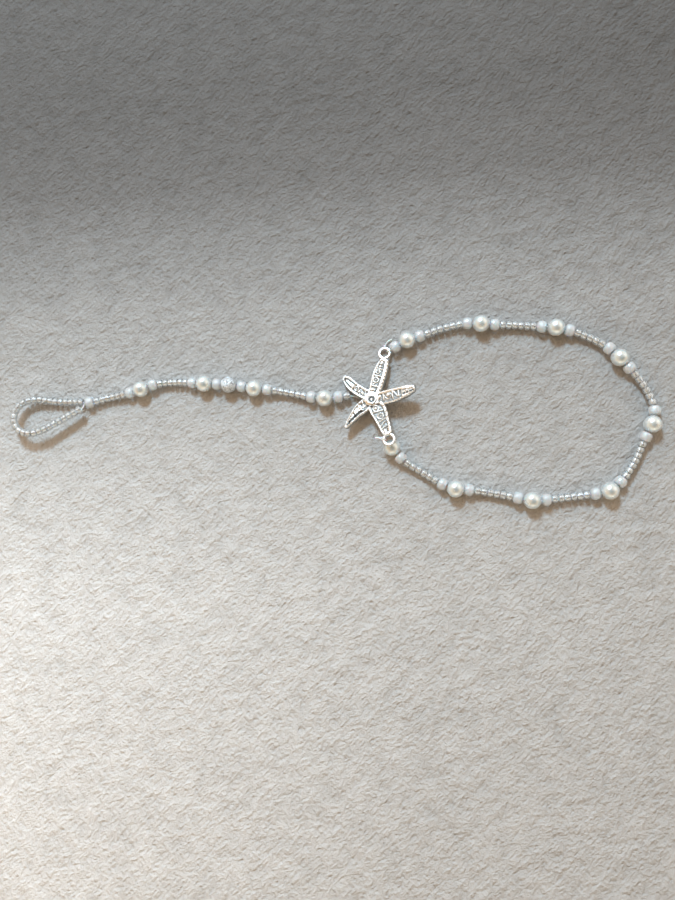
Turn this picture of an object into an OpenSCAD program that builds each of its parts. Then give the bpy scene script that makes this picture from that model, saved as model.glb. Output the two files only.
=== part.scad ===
// Stretch anklet with a toe strand, lying on a flat surface.
// A beaded elastic loop goes round the ankle and closes through the two eyelets
// of a cast starfish. A second beaded strand runs from behind the starfish to a
// small beaded toe loop. Millimetres, +Z up, the surface is z = 0.

/* [Beads] */
// Diameter of a round glass pearl
pearl_d = 5.8; // [5.7:0.05:5.9]
// Bore of a pearl
pearl_bore = 1.4; // [1.4:0.05:1.6]
// Diameter of an opal glass bead
opal_d = 4.1; // [3.8:0.1:4.2]
// Length of an opal glass bead along its thread
opal_len = 3.3; // [3.2:0.05:3.4]
// Bore of an opal glass bead
opal_bore = 1.2; // [1.0:0.1:1.4]
// Diameter of a seed bead
seed_d = 3.0; // [2.8:0.1:3.0]
// Bore of a seed bead
seed_bore = 0.9; // [0.8:0.05:1.0]
// Gap left between two beads that touch on the thread
bead_gap = 0.12; // [0.08:0.01:0.14]
// Further gap between two seed beads of a run
seed_gap = 0.12; // [0.08:0.02:0.2]

/* [Elastic] */
// Diameter of the clear elastic thread
thread_d = 0.4; // [0.3:0.05:0.45]
// Diameter of the knot that holds the toe strand behind the starfish
knot_d = 1.3; // [1.1:0.05:1.3]

/* [Starfish] */
// Thickness of the casting in the sunk channel of an arm
star_floor = 1.1; // [0.9:0.05:1.2]
// Thickness of the casting at its raised rims
star_rim = 1.8; // [1.6:0.05:2.0]
// Width of the raised rim along each arm
rim_w = 0.75; // [0.6:0.05:0.9]
// Wire diameter of the two eyelets
eye_wire = 0.95; // [0.8:0.05:1.0]
// Inner diameter of the two eyelets
eye_hole = 2.7; // [2.6:0.05:2.8]
// Height of the raised rings on the arms above the sunk channel
ring_h = 0.45; // [0.3:0.05:0.6]

/* [Hidden] */
$fn = 24;

pearl_r = pearl_d / 2;
opal_r = opal_d / 2;
seed_r = seed_d / 2;
pearl_len = 2 * sqrt(pearl_r * pearl_r - pearl_bore * pearl_bore / 4);

// heights of the bead centres above the surface
opal_z = opal_r + 0.15;
seed_z = seed_r + 0.1;

// ---- starfish placing: centre on the plan, height and lean of its back face
star_x = 20.5;
star_y = 5;
star_z = 2.48;
star_lean = [-8.2, -6.3, 0];

// ---- routes, plan points every few millimetres, chosen by hand
// ankle loop, clockwise seen from above, from the upper eyelet to the lower one
ANKLE_PTS = [
    [24.8, 21.4], [28.5, 23.5], [32.5, 25.5], [37, 27], [45, 29.5], [53.5, 30.8],
    [58, 30.3], [62.5, 30], [70.5, 29.5], [78.5, 28.5], [82.5, 28], [87, 27],
    [94, 24], [100, 20], [102.7, 17], [106, 13.2], [109.8, 8.2], [112.3, 2.8], [113, -1.2],
    [112, -5.5], [109.8, -9.5], [106.5, -17], [101.5, -24], [98, -27], [93.5, -27.8],
    [86, -28.8], [78, -29.7], [73, -30], [68.5, -29], [61, -27.5], [53, -26.3],
    [48.3, -26], [44.5, -24.5], [37, -20], [29.8, -15], [26.8, -11.3], [25, -9]
];
// toe strand, from behind the starfish to the junction opal
STRAND_PTS = [
    [18.2, 5.6], [14.5, 6.2], [11.7, 6.7], [8.4, 6.5], [3.6, 6], [-1.3, 6.7],
    [-9.5, 8.5], [-17, 9.7], [-21.8, 10.2], [-26.5, 11.1], [-31.2, 11.8], [-36, 12.2],
    [-40.5, 12.4], [-45, 13], [-52.5, 13.4], [-60, 12.6], [-64, 11.1], [-68.5, 10],
    [-76.5, 8.5], [-84.3, 6.8], [-87, 6.5]
];
// toe loop, from the junction opal round to it again, with its height
TOE_PTS = [
    [-84.4, 6.62, 2.2], [-87.6, 6.95, 2.1], [-91.5, 7.1, 1.85], [-95.9, 7.3, 1.8], [-100.1, 7.75, 1.9],
    [-104.2, 8.3, 2.3], [-108, 7.9, 2.95], [-111.3, 6, 3.7], [-112.8, 2.7, 4.35], [-112.1, -1, 4.8],
    [-109.9, -3.5, 5], [-106.2, -4.55, 5.05], [-101.8, -3.8, 4.95], [-97.7, -1.9, 4.75], [-93.8, 0.25, 4.5],
    [-90.05, 2.4, 4.25], [-87.2, 3.9, 4.05], [-85.6, 4.8, 3.8]
];

// ---- bead patterns. Columns: kind, how many, pitch along the thread (0 = the bead's own length)
ANKLE_ROWS = [
    ["opal", 1, 0], ["pearl", 1, 0], ["opal", 1, 0], ["seed", 6, 2.245],
    ["opal", 1, 0], ["pearl", 1, 0], ["opal", 1, 0], ["seed", 6, 2.033],
    ["opal", 1, 0], ["pearl", 1, 0], ["opal", 1, 0], ["seed", 5, 2.17],
    ["opal", 1, 0], ["pearl", 1, 0], ["opal", 1, 0], ["seed", 6, 2.15],
    ["opal", 1, 3.6], ["pearl", 1, 0], ["opal", 1, 0], ["seed", 7, 1.933],
    ["opal", 1, 0], ["pearl", 1, 0], ["opal", 1, 0], ["seed", 6, 2.053],
    ["opal", 1, 0], ["pearl", 1, 0], ["opal", 1, 0], ["seed", 6, 2.126],
    ["opal", 1, 0], ["pearl", 1, 0], ["opal", 1, 0], ["seed", 6, 2.207],
    ["opal", 1, 3.55], ["pearl", 1, 0]
];
STRAND_ROWS = [
    ["seed", 1, 2.5], ["opal", 1, 0], ["pearl", 1, 6.3], ["opal", 1, 0], ["seed", 6, 2.127],
    ["opal", 1, 0], ["pearl", 1, 6.1], ["opal", 1, 0], ["silver", 1, 5.9], ["opal", 1, 0],
    ["pearl", 1, 0], ["opal", 1, 0], ["seed", 6, 1.948], ["opal", 1, 0], ["pearl", 1, 0],
    ["opal", 1, 0], ["seed", 6, 2.08], ["opal", 1, 0]
];
TOE_ROWS = [["seed", 11, 2.06], ["seed", 8, 2.09], ["seed", 11, 2.09]];

// thread distance from the start of each route to the first bead
ankle_start = 2.57;
strand_start = 5.6;
toe_start = 2.2;

// ---- list helpers
function unit(v) = v / norm(v);
function cumul(v, i = 0, s = 0) = i >= len(v) ? [s] : concat([s], cumul(v, i + 1, s + v[i]));
function reversed(v) = [for (i = [len(v) - 1 : -1 : 0]) v[i]];

// smooth curve through points, with tangents weighted by the spacing
function chord(p, i) = norm(p[i + 1] - p[i]);
function slope(p, i) =
    i == 0 ? (p[1] - p[0]) / chord(p, 0) :
    i == len(p) - 1 ? (p[i] - p[i - 1]) / chord(p, i - 1) :
    ((p[i] - p[i - 1]) / chord(p, i - 1) * chord(p, i) + (p[i + 1] - p[i]) / chord(p, i) * chord(p, i - 1))
        / (chord(p, i - 1) + chord(p, i));
function hermite(a, ta, b, tb, h, t) =
    a * (2 * t * t * t - 3 * t * t + 1) + ta * h * (t * t * t - 2 * t * t + t)
    + b * (3 * t * t - 2 * t * t * t) + tb * h * (t * t * t - t * t);
steps = 8;
function curve(p) = concat(
    [for (i = [0 : len(p) - 2], k = [0 : steps - 1])
        hermite(p[i], slope(p, i), p[i + 1], slope(p, i + 1), chord(p, i), k / steps)],
    [p[len(p) - 1]]);

// distance along a sampled curve, and a point at a distance
function distances(c) = cumul([for (i = [0 : len(c) - 2]) norm(c[i + 1] - c[i])]);
function axis_table(c, d, k) = [for (i = [0 : len(c) - 1]) [d[i], c[i][k]]];

// ---- beads spread along a route: rows of [kind, centre distance, length, index in run, run size]
function own_len(kind) = kind == "pearl" || kind == "silver" ? pearl_len : opal_len;
function row_pitch(r) = r[2] > 0 ? r[2] : own_len(r[0]) + bead_gap;
function row_starts(rows, s0) = let (c = cumul([for (r = rows) r[1] * row_pitch(r)])) [for (v = c) v + s0];
function spread(rows, s0) = let (st = row_starts(rows, s0))
    [for (i = [0 : len(rows) - 1], k = [0 : rows[i][1] - 1])
        [rows[i][0], st[i] + (k + 0.5) * row_pitch(rows[i]), row_pitch(rows[i]) - bead_gap - seed_gap, k, rows[i][1], i]];

// height of a bead: pearls rest on the surface, seed beads sag between their opals
function rest_z(b) =
    b[0] == "pearl" || b[0] == "silver" ? pearl_r :
    b[0] == "opal" ? opal_z :
    b[4] == 1 ? (opal_z + seed_z) / 2 :
    let (t = 2 * (b[3] + 0.5) / b[4] - 1) seed_z + (opal_z - seed_z) * 0.8 * t * t;

A_C = curve(ANKLE_PTS);
A_D = distances(A_C);
A_X = axis_table(A_C, A_D, 0);
A_Y = axis_table(A_C, A_D, 1);
A_B = spread(ANKLE_ROWS, ankle_start);
A_P = [for (b = A_B) [lookup(b[1], A_X), lookup(b[1], A_Y), rest_z(b)]];

S_C = curve(STRAND_PTS);
S_D = distances(S_C);
S_X = axis_table(S_C, S_D, 0);
S_Y = axis_table(S_C, S_D, 1);
S_B = spread(STRAND_ROWS, strand_start);
S_P = [for (b = S_B) [lookup(b[1], S_X), lookup(b[1], S_Y), rest_z(b)]];

T_C = curve(TOE_PTS);
T_D = distances(T_C);
T_X = axis_table(T_C, T_D, 0);
T_Y = axis_table(T_C, T_D, 1);
T_Z = axis_table(T_C, T_D, 2);
T_B = spread(TOE_ROWS, toe_start);
T_P = [for (b = T_B) [lookup(b[1], T_X), lookup(b[1], T_Y), lookup(b[1], T_Z)]];

// direction of the thread at a bead, from its neighbours
function along(p, i) = unit(p[min(i + 1, len(p) - 1)] - p[max(i - 1, 0)]);

// indices of the beads of one kind, and of the beads of one row
function of_kind(b, kind) = [for (i = [0 : len(b) - 1]) if (b[i][0] == kind) i];
function of_row(b, r) = [for (i = [0 : len(b) - 1]) if (b[i][5] == r) i];

// ---- placing
module on_thread(p, d) {
    translate(p) rotate([0, -asin(d[2]), atan2(d[1], d[0])]) children();
}
module rod(a, b, d) {
    v = b - a;
    translate(a) rotate([0, acos(v[2] / norm(v)), atan2(v[1], v[0])]) cylinder(d = d, h = norm(v));
}
module in_star() {
    translate([star_x, star_y, star_z]) rotate(star_lean) children();
}

// ---- bead forms, bored along X
module ball(d, bore) {
    rotate([0, 90, 0]) difference() {
        sphere(d = d);
        cylinder(d = bore, h = d + 2, center = true);
    }
}
module rocaille_body(d, length, corner) {
    rotate([0, 90, 0]) rotate_extrude() intersection() {
        union() {
            translate([0, -length / 2]) square([d / 2 - corner, length]);
            translate([0, corner - length / 2]) square([d / 2, length - 2 * corner]);
            for (s = [-1, 1]) translate([d / 2 - corner, s * (length / 2 - corner)]) circle(r = corner);
        }
        translate([0, -length / 2]) square([d / 2, length]);
    }
}
module rocaille(d, length, corner, bore) {
    difference() {
        rocaille_body(d, length, corner);
        rotate([0, 90, 0]) cylinder(d = bore, h = length + 2, center = true);
    }
}

// a run of seed beads, joined mouth to mouth by thin hollow links round the thread
function links(b, p, ids) = len(ids) < 2 ? [] :
    [for (k = [0 : len(ids) - 2])
        [(mouth(b, p, ids[k], 1) + mouth(b, p, ids[k + 1], -1)) / 2, unit(p[ids[k + 1]] - p[ids[k]])]];
module seed_run(b, p, row) {
    ids = of_row(b, row);
    color([0.78, 0.75, 0.68]) difference() {
        union() {
            for (i = ids) on_thread(p[i], along(p, i)) rocaille_body(seed_d, b[i][2], 0.62);
            for (j = links(b, p, ids)) on_thread(j[0], j[1]) rotate([0, 90, 0]) sphere(d = seed_bore + 0.6);
        }
        for (i = ids) on_thread(p[i], along(p, i)) rotate([0, 90, 0]) cylinder(d = seed_bore, h = b[i][2] + 0.14, center = true);
        for (j = links(b, p, ids)) on_thread(j[0], j[1]) rotate([25, 90, 0]) sphere(d = seed_bore + 0.16);
    }
}

// ---- one round bead, and one opal bead, by number
PEARLS = concat([for (i = of_kind(A_B, "pearl")) [A_P[i], along(A_P, i)]], [for (i = of_kind(S_B, "pearl")) [S_P[i], along(S_P, i)]]);
OPALS = concat([for (i = of_kind(A_B, "opal")) [A_P[i], along(A_P, i)]], [for (i = of_kind(S_B, "opal")) [S_P[i], along(S_P, i)]]);
SILVER = of_kind(S_B, "silver")[0];

module pearl(n) {
    color([0.93, 0.91, 0.85]) on_thread(PEARLS[n - 1][0], PEARLS[n - 1][1]) ball(pearl_d, pearl_bore);
}
module opal(n) {
    color([0.86, 0.88, 0.92]) on_thread(OPALS[n - 1][0], OPALS[n - 1][1]) rocaille(opal_d, opal_len, 1.35, opal_bore);
}
module silver_bead() {
    color([0.8, 0.8, 0.79]) on_thread(S_P[SILVER], along(S_P, SILVER)) ball(pearl_d, pearl_bore);
}

// ---- cast starfish, drawn flat with its back at w = 0
// Each arm: its angle, the ends of its sunk channel, the radius of its tip, and its sections.
// Columns of a section: distance from the middle, edge on the left, edge on the right
ARMS = [
    [139.5, [2.9, 8.8], 1.1, [[0, 2, -2], [3, 2.2, -1.9], [5, 2.6, -1.5], [7, 2.8, -1.3], [9.6, 2.55, -1.35], [11.6, 2, -1.35], [12.4, 1.5, -0.9]]],
    [73.8, [3, 13.6], 1.3, [[0, 2, -2], [4, 2.2, -2.4], [7, 2.5, -2.5], [9.2, 2.55, -2.5], [11.4, 2.35, -2.35], [13.2, 2, -2.15], [13.9, 1.7, -2]]],
    [8.8, [2.8, 14.7], 1.1, [[0, 2.2, -2.2], [4.3, 2, -3.1], [6.3, 2.1, -3.1], [8.6, 2.05, -2.95], [11, 2, -2.45], [13.2, 2, -2], [14.8, 1.6, -1.2]]],
    [-67, [3.1, 12.9], 1.7, [[0, 2, -2.2], [4.5, 3.6, -2.5], [6.9, 3.5, -2.1], [9, 3.1, -1.8], [11, 2.8, -1.6], [12.6, 2.5, -1.5], [13, 2.4, -1.4]]],
    [-133, [2.9, 12.6], 0.8, [[0, 2, -2], [4.2, 2.2, -2.7], [6.6, 1.6, -2.6], [8.7, 1.35, -2.1], [10.4, 1.15, -1.6], [12.1, 1, -1.05], [12.9, 0.9, -0.7]]]
];
EYE_UP = [4.05, 16.5];
EYE_LOW = [6.3, -14.6];
eye_r = (eye_hole + eye_wire) / 2;
eye_w = 0.9;
// raised rings on an arm, as parts of its channel, and the bars between them
RINGS = [0.12, 0.38, 0.63, 0.86];
BARS = [0.25, 0.5, 0.75];

function arm_len(a) = a[3][len(a[3]) - 1][0];
function edge(a, d, k) = lookup(d, [for (r = a[3]) [r[0], r[k]]]);
function middle(a, d) = (edge(a, d, 1) + edge(a, d, 2)) / 2;
function half(a, d) = (edge(a, d, 1) - edge(a, d, 2)) / 2;
// round end of an arm, from its left edge to its right edge
function tip(a) = let (d = arm_len(a), m = middle(a, d), h = half(a, d))
    [for (v = [75 : -15 : -75]) [d + a[2] * cos(v), m + h * sin(v)]];
module arm_plan(a) {
    rotate(a[0]) polygon(concat([for (r = a[3]) [r[0], r[1]]], tip(a), [for (r = reversed(a[3])) [r[0], r[2]]]));
}
// sunk channel of an arm, drawn in from both edges by the rim
function chan_half(a, d) = max(half(a, d) - rim_w, 0.35);
function stations(a) = let (c = a[1], n = 8) [for (i = [0 : n]) c[0] + (c[1] - c[0]) * i / n];
module channel_plan(a) {
    rotate(a[0]) polygon(concat(
        [for (d = stations(a)) [d, middle(a, d) + chan_half(a, d) * (d == a[1][0] || d == a[1][1] ? 0.6 : 1)]],
        [for (d = reversed(stations(a))) [d, middle(a, d) - chan_half(a, d) * (d == a[1][0] || d == a[1][1] ? 0.6 : 1)]]));
}
// the arm that is bent up out of the casting's plane, where the bend starts and its angle
RAISED = 2;
bend_at = 2.6;
bend = 9;
LEVEL = [for (i = [0 : len(ARMS) - 1]) if (i != RAISED) ARMS[i]];
module bent() {
    rotate(ARMS[RAISED][0]) translate([bend_at, 0, 0]) rotate([0, -bend, 0]) translate([-bend_at, 0, 0])
        rotate(-ARMS[RAISED][0]) children();
}
// raised rings and bars in the channel of an arm
module arm_work(a) {
    rotate(a[0]) {
        for (t = RINGS) let (d = a[1][0] + t * (a[1][1] - a[1][0]), r = min(0.8, chan_half(a, d)))
            translate([d, middle(a, d), star_floor - 0.2]) difference() {
                cylinder(r = r, h = ring_h + 0.2);
                translate([0, 0, 0.2]) cylinder(r = r * 0.45, h = ring_h + 1);
            }
        for (t = BARS) let (d = a[1][0] + t * (a[1][1] - a[1][0]))
            translate([d - 0.2, middle(a, d) - chan_half(a, d) - 0.3, star_floor - 0.2])
                cube([0.4, 2 * chan_half(a, d) + 0.6, ring_h + 0.1]);
    }
}
module eyelet() {
    rotate_extrude() translate([eye_r, 0]) circle(d = eye_wire);
}
module starfish() {
    color([0.78, 0.78, 0.76]) in_star() {
        difference() {
            union() {
                linear_extrude(star_rim) union() {
                    for (a = LEVEL) arm_plan(a);
                    circle(r = 3.6);
                }
                bent() linear_extrude(star_rim) arm_plan(ARMS[RAISED]);
            }
            translate([0, 0, star_floor]) linear_extrude(star_rim) for (a = LEVEL) channel_plan(a);
            bent() translate([0, 0, star_floor]) linear_extrude(star_rim) channel_plan(ARMS[RAISED]);
        }
        for (a = LEVEL) arm_work(a);
        bent() arm_work(ARMS[RAISED]);
        // middle boss
        translate([0, 0, star_rim - 0.2]) difference() {
            cylinder(r = 1.4, h = 0.6);
            translate([0, 0, 0.2]) cylinder(r = 0.75, h = 2);
        }
        // eyelets for the ankle loop, each on a short neck
        for (e = [EYE_UP, EYE_LOW]) translate([e[0], e[1], eye_w]) eyelet();
        for (e = [EYE_UP, EYE_LOW]) rotate(atan2(e[1], e[0]))
            translate([norm(e) - eye_r - 1.6, -0.8, eye_w - 0.4]) cube([1.6, 1.6, 0.8]);
        // rear loop for the toe strand
        translate([-3.6, 0.8, -0.55]) rotate([0, 90, 0]) rotate_extrude() translate([0.85, 0]) circle(d = 0.8);
    }
}

// ---- clear elastic, swept along its own points with eight sides
function frame_next(n, t) = unit(n - (n * t) * t);
function sweep_dirs(p) = [for (i = [0 : len(p) - 1]) along(p, i)];
function sweep_sides(d) = [for (i = 0, n = unit(cross(d[0], [0.1, 0.2, 1])); i < len(d);
    i = i + 1, n = i < len(d) ? frame_next(n, d[i]) : n) n];
module sweep(p, d) {
    dirs = sweep_dirs(p);
    side = sweep_sides(dirs);
    n = len(p);
    pts = [for (i = [0 : n - 1], k = [0 : 7])
        p[i] + d / 2 * (cos(k * 45) * side[i] + sin(k * 45) * cross(dirs[i], side[i]))];
    faces = concat(
        [[for (k = [0 : 7]) k]],
        [for (i = [0 : n - 2], k = [0 : 7]) let (q = (k + 1) % 8)
            each [[i * 8 + k, (i + 1) * 8 + k, i * 8 + q], [i * 8 + q, (i + 1) * 8 + k, (i + 1) * 8 + q]]],
        [[for (k = [7 : -1 : 0]) (n - 1) * 8 + k]]);
    polyhedron(pts, faces, convexity = 6);
}
// a turn of thread round the wire of an eyelet
module hitch(e, turn) {
    in_star() translate([e[0], e[1], eye_w]) rotate(turn) translate([eye_r, 0, 0]) rotate([90, 0, 0])
        rotate_extrude() translate([eye_wire / 2 + thread_d / 2 + 0.03, 0]) circle(d = thread_d);
}

// hand-set ends of the ankle loop's thread, at the upper and the lower eyelet
UP_END = [[26.95, 22.45, 1.7], [27.05, 22.52, 1.9]];
LOW_END = [[25, -9, 3], [24.5, -8.4, 3.4], [24.2, -8.4, 4.1], [24.2, -9, 4.7], [24.4, -9.5, 5.1]];
TAIL = [[26.1, 22.1, 0.85], [25.4, 22.5, 0.6], [24.9, 23.3, 0.42], [24.8, 24.2, 0.6], [25.3, 25.2, 0.75], [26.2, 26.1, 0.75], [27.2, 26.6, 0.6]];

// the thread's line: through each bead's middle, and half-way between the two
// bore mouths where a round bead meets its neighbour
function bead_half(b) = b[0] == "seed" ? b[2] / 2 : own_len(b[0]) / 2;
function round_bead(b) = b[0] == "pearl" || b[0] == "silver";
function mouth(b, p, i, s) = p[i] + s * bead_half(b[i]) * along(p, i);
function thread_line(b, p) = [for (i = [0 : len(p) - 1])
    each i < len(p) - 1 && (round_bead(b[i]) || round_bead(b[i + 1])) ?
        [p[i], (mouth(b, p, i, 1) + mouth(b, p, i + 1, -1)) / 2] : [p[i]]];

module ankle_thread() {
    color([0.9, 0.92, 0.92, 0.6]) {
        sweep(concat(UP_END, thread_line(A_B, A_P), LOW_END), thread_d);
        sweep(TAIL, thread_d);
        translate(TAIL[3]) sphere(d = 0.8);
        translate(LOW_END[2]) sphere(d = 0.9);
        // the knot outside the lower eyelet, and its cut end
        in_star() translate([EYE_LOW[0] - 2.84, EYE_LOW[1] + 0.5, eye_w]) {
            sphere(d = 0.9);
            sweep([[0.1, 0, 0.1], [-0.6, 0.15, 0.2], [-1.3, 0.2, 0.3], [-1.9, 0.1, 0.3]], thread_d);
        }
        hitch(EYE_UP, 23.5);
        hitch(EYE_LOW, 180);
    }
}
// hand-set start of the toe strand's thread, in the loop behind the starfish
TOE_START = [[18.35, 5.6, 1.3], [16.9, 5.85, 1.38], [15.2, 6.2, 1.4], [13.5, 6.6, 1.7]];
TOE_CLOSE = [[-86.15, 4.45, 3.95], [-85.85, 4.95, 3.7], [-86, 5.6, 3.1], [-86.3, 6.05, 2.4], [-86.2, 6.32, 2.12], [-85.8, 6.42, 2.05], [-85.1, 6.55, 2.02]];
// where the first pass leaves the junction opal for the toe loop
TOE_OUT = [[-86.08, 6.58, 2.57], [-86.5, 6.79, 2.32]];

// the first pass through the junction opal runs high in its bore, above the last
strand_pts = thread_line(S_B, S_P);
strand_line = [for (i = [0 : len(strand_pts) - 1]) strand_pts[i] + [0, 0, i < len(strand_pts) - 1 ? 0 : 0.24]];

module toe_thread() {
    color([0.9, 0.92, 0.92, 0.6]) {
        sweep(concat(TOE_START, strand_line, TOE_OUT, T_P, TOE_CLOSE), thread_d);
        translate(TOE_START[0]) sphere(d = knot_d);
    }
}

// ---- rows of the pattern tables that hold seed beads
ANKLE_RUNS = [for (i = [0 : len(ANKLE_ROWS) - 1]) if (ANKLE_ROWS[i][0] == "seed") i];
STRAND_RUNS = [for (i = [0 : len(STRAND_ROWS) - 1]) if (STRAND_ROWS[i][0] == "seed") i];
module ankle_seeds(n) { seed_run(A_B, A_P, ANKLE_RUNS[n - 1]); }
module strand_seeds(n) { seed_run(S_B, S_P, STRAND_RUNS[n - 1]); }
module toe_seeds(n) { seed_run(T_B, T_P, n - 1); }

starfish();
ankle_thread();
toe_thread();
silver_bead();
pearl(1);  // pearl_1
pearl(2);  // pearl_2
pearl(3);  // pearl_3
pearl(4);  // pearl_4
pearl(5);  // pearl_5
pearl(6);  // pearl_6
pearl(7);  // pearl_7
pearl(8);  // pearl_8
pearl(9);  // pearl_9
pearl(10);  // pearl_10
pearl(11);  // pearl_11
pearl(12);  // pearl_12
pearl(13);  // pearl_13
opal(1);  // opal_1
opal(2);  // opal_2
opal(3);  // opal_3
opal(4);  // opal_4
opal(5);  // opal_5
opal(6);  // opal_6
opal(7);  // opal_7
opal(8);  // opal_8
opal(9);  // opal_9
opal(10);  // opal_10
opal(11);  // opal_11
opal(12);  // opal_12
opal(13);  // opal_13
opal(14);  // opal_14
opal(15);  // opal_15
opal(16);  // opal_16
opal(17);  // opal_17
opal(18);  // opal_18
opal(19);  // opal_19
opal(20);  // opal_20
opal(21);  // opal_21
opal(22);  // opal_22
opal(23);  // opal_23
opal(24);  // opal_24
opal(25);  // opal_25
opal(26);  // opal_26
ankle_seeds(1);  // ankle_seeds_1
ankle_seeds(2);  // ankle_seeds_2
ankle_seeds(3);  // ankle_seeds_3
ankle_seeds(4);  // ankle_seeds_4
ankle_seeds(5);  // ankle_seeds_5
ankle_seeds(6);  // ankle_seeds_6
ankle_seeds(7);  // ankle_seeds_7
ankle_seeds(8);  // ankle_seeds_8
strand_seeds(1);  // strand_seeds_1
strand_seeds(2);  // strand_seeds_2
strand_seeds(3);  // strand_seeds_3
strand_seeds(4);  // strand_seeds_4
toe_seeds(1);  // toe_seeds_1
toe_seeds(2);  // toe_seeds_2
toe_seeds(3);  // toe_seeds_3
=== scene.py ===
import math
import bpy
import numpy as np
from mathutils import Matrix, Vector


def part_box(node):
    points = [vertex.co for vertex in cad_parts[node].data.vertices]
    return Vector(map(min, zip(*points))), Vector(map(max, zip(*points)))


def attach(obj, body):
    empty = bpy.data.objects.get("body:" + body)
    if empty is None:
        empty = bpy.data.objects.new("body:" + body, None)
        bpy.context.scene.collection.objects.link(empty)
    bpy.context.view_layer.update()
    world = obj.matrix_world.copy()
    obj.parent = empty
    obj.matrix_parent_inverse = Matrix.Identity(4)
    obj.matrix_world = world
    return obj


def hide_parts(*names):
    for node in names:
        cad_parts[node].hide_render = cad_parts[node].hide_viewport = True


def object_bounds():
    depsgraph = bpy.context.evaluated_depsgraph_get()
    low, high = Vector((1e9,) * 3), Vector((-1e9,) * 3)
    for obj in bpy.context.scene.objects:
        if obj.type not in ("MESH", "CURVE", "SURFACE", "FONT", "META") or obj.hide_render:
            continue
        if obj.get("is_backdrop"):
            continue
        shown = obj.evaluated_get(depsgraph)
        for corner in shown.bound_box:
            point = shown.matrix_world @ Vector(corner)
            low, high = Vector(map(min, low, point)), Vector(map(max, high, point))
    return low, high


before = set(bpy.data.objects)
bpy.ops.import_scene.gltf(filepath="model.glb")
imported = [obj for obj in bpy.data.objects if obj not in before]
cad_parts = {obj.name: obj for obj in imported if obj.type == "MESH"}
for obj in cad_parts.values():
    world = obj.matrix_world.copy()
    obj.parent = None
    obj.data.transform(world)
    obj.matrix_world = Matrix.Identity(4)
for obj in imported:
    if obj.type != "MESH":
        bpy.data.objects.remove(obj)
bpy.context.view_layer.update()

# ---------------------------------------------------------------- routes, as in part.scad (millimetres)
PEARL_D, PEARL_BORE = 5.8, 1.4
OPAL_D, OPAL_LEN, OPAL_BORE = 4.1, 3.3, 1.2
SEED_D, SEED_BORE = 3.0, 0.9
BEAD_GAP, SEED_GAP = 0.12, 0.12
THREAD_D, KNOT_D = 0.4, 1.3
PEARL_LEN = 2 * math.sqrt((PEARL_D / 2) ** 2 - PEARL_BORE ** 2 / 4)
OPAL_Z, SEED_Z = OPAL_D / 2 + 0.15, SEED_D / 2 + 0.1

ANKLE_PTS = [
    [24.8, 21.4], [28.5, 23.5], [32.5, 25.5], [37, 27], [45, 29.5], [53.5, 30.8],
    [58, 30.3], [62.5, 30], [70.5, 29.5], [78.5, 28.5], [82.5, 28], [87, 27],
    [94, 24], [100, 20], [102.7, 17], [106, 13.2], [109.8, 8.2], [112.3, 2.8], [113, -1.2],
    [112, -5.5], [109.8, -9.5], [106.5, -17], [101.5, -24], [98, -27], [93.5, -27.8],
    [86, -28.8], [78, -29.7], [73, -30], [68.5, -29], [61, -27.5], [53, -26.3],
    [48.3, -26], [44.5, -24.5], [37, -20], [29.8, -15], [26.8, -11.3], [25, -9]]
STRAND_PTS = [
    [18.2, 5.6], [14.5, 6.2], [11.7, 6.7], [8.4, 6.5], [3.6, 6], [-1.3, 6.7],
    [-9.5, 8.5], [-17, 9.7], [-21.8, 10.2], [-26.5, 11.1], [-31.2, 11.8], [-36, 12.2],
    [-40.5, 12.4], [-45, 13], [-52.5, 13.4], [-60, 12.6], [-64, 11.1], [-68.5, 10],
    [-76.5, 8.5], [-84.3, 6.8], [-87, 6.5]]
TOE_PTS = [
    [-84.4, 6.62, 2.2], [-87.6, 6.95, 2.1], [-91.5, 7.1, 1.85], [-95.9, 7.3, 1.8], [-100.1, 7.75, 1.9],
    [-104.2, 8.3, 2.3], [-108, 7.9, 2.95], [-111.3, 6, 3.7], [-112.8, 2.7, 4.35], [-112.1, -1, 4.8],
    [-109.9, -3.5, 5], [-106.2, -4.55, 5.05], [-101.8, -3.8, 4.95], [-97.7, -1.9, 4.75], [-93.8, 0.25, 4.5],
    [-90.05, 2.4, 4.25], [-87.2, 3.9, 4.05], [-85.6, 4.8, 3.8]]
ANKLE_ROWS = [
    ["opal", 1, 0], ["pearl", 1, 0], ["opal", 1, 0], ["seed", 6, 2.245],
    ["opal", 1, 0], ["pearl", 1, 0], ["opal", 1, 0], ["seed", 6, 2.033],
    ["opal", 1, 0], ["pearl", 1, 0], ["opal", 1, 0], ["seed", 5, 2.17],
    ["opal", 1, 0], ["pearl", 1, 0], ["opal", 1, 0], ["seed", 6, 2.15],
    ["opal", 1, 3.6], ["pearl", 1, 0], ["opal", 1, 0], ["seed", 7, 1.933],
    ["opal", 1, 0], ["pearl", 1, 0], ["opal", 1, 0], ["seed", 6, 2.053],
    ["opal", 1, 0], ["pearl", 1, 0], ["opal", 1, 0], ["seed", 6, 2.126],
    ["opal", 1, 0], ["pearl", 1, 0], ["opal", 1, 0], ["seed", 6, 2.207],
    ["opal", 1, 3.55], ["pearl", 1, 0]]
STRAND_ROWS = [
    ["seed", 1, 2.5], ["opal", 1, 0], ["pearl", 1, 6.3], ["opal", 1, 0], ["seed", 6, 2.127],
    ["opal", 1, 0], ["pearl", 1, 6.1], ["opal", 1, 0], ["silver", 1, 5.9], ["opal", 1, 0],
    ["pearl", 1, 0], ["opal", 1, 0], ["seed", 6, 1.948], ["opal", 1, 0], ["pearl", 1, 0],
    ["opal", 1, 0], ["seed", 6, 2.08], ["opal", 1, 0]]
TOE_ROWS = [["seed", 11, 2.06], ["seed", 8, 2.09], ["seed", 11, 2.09]]
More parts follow.
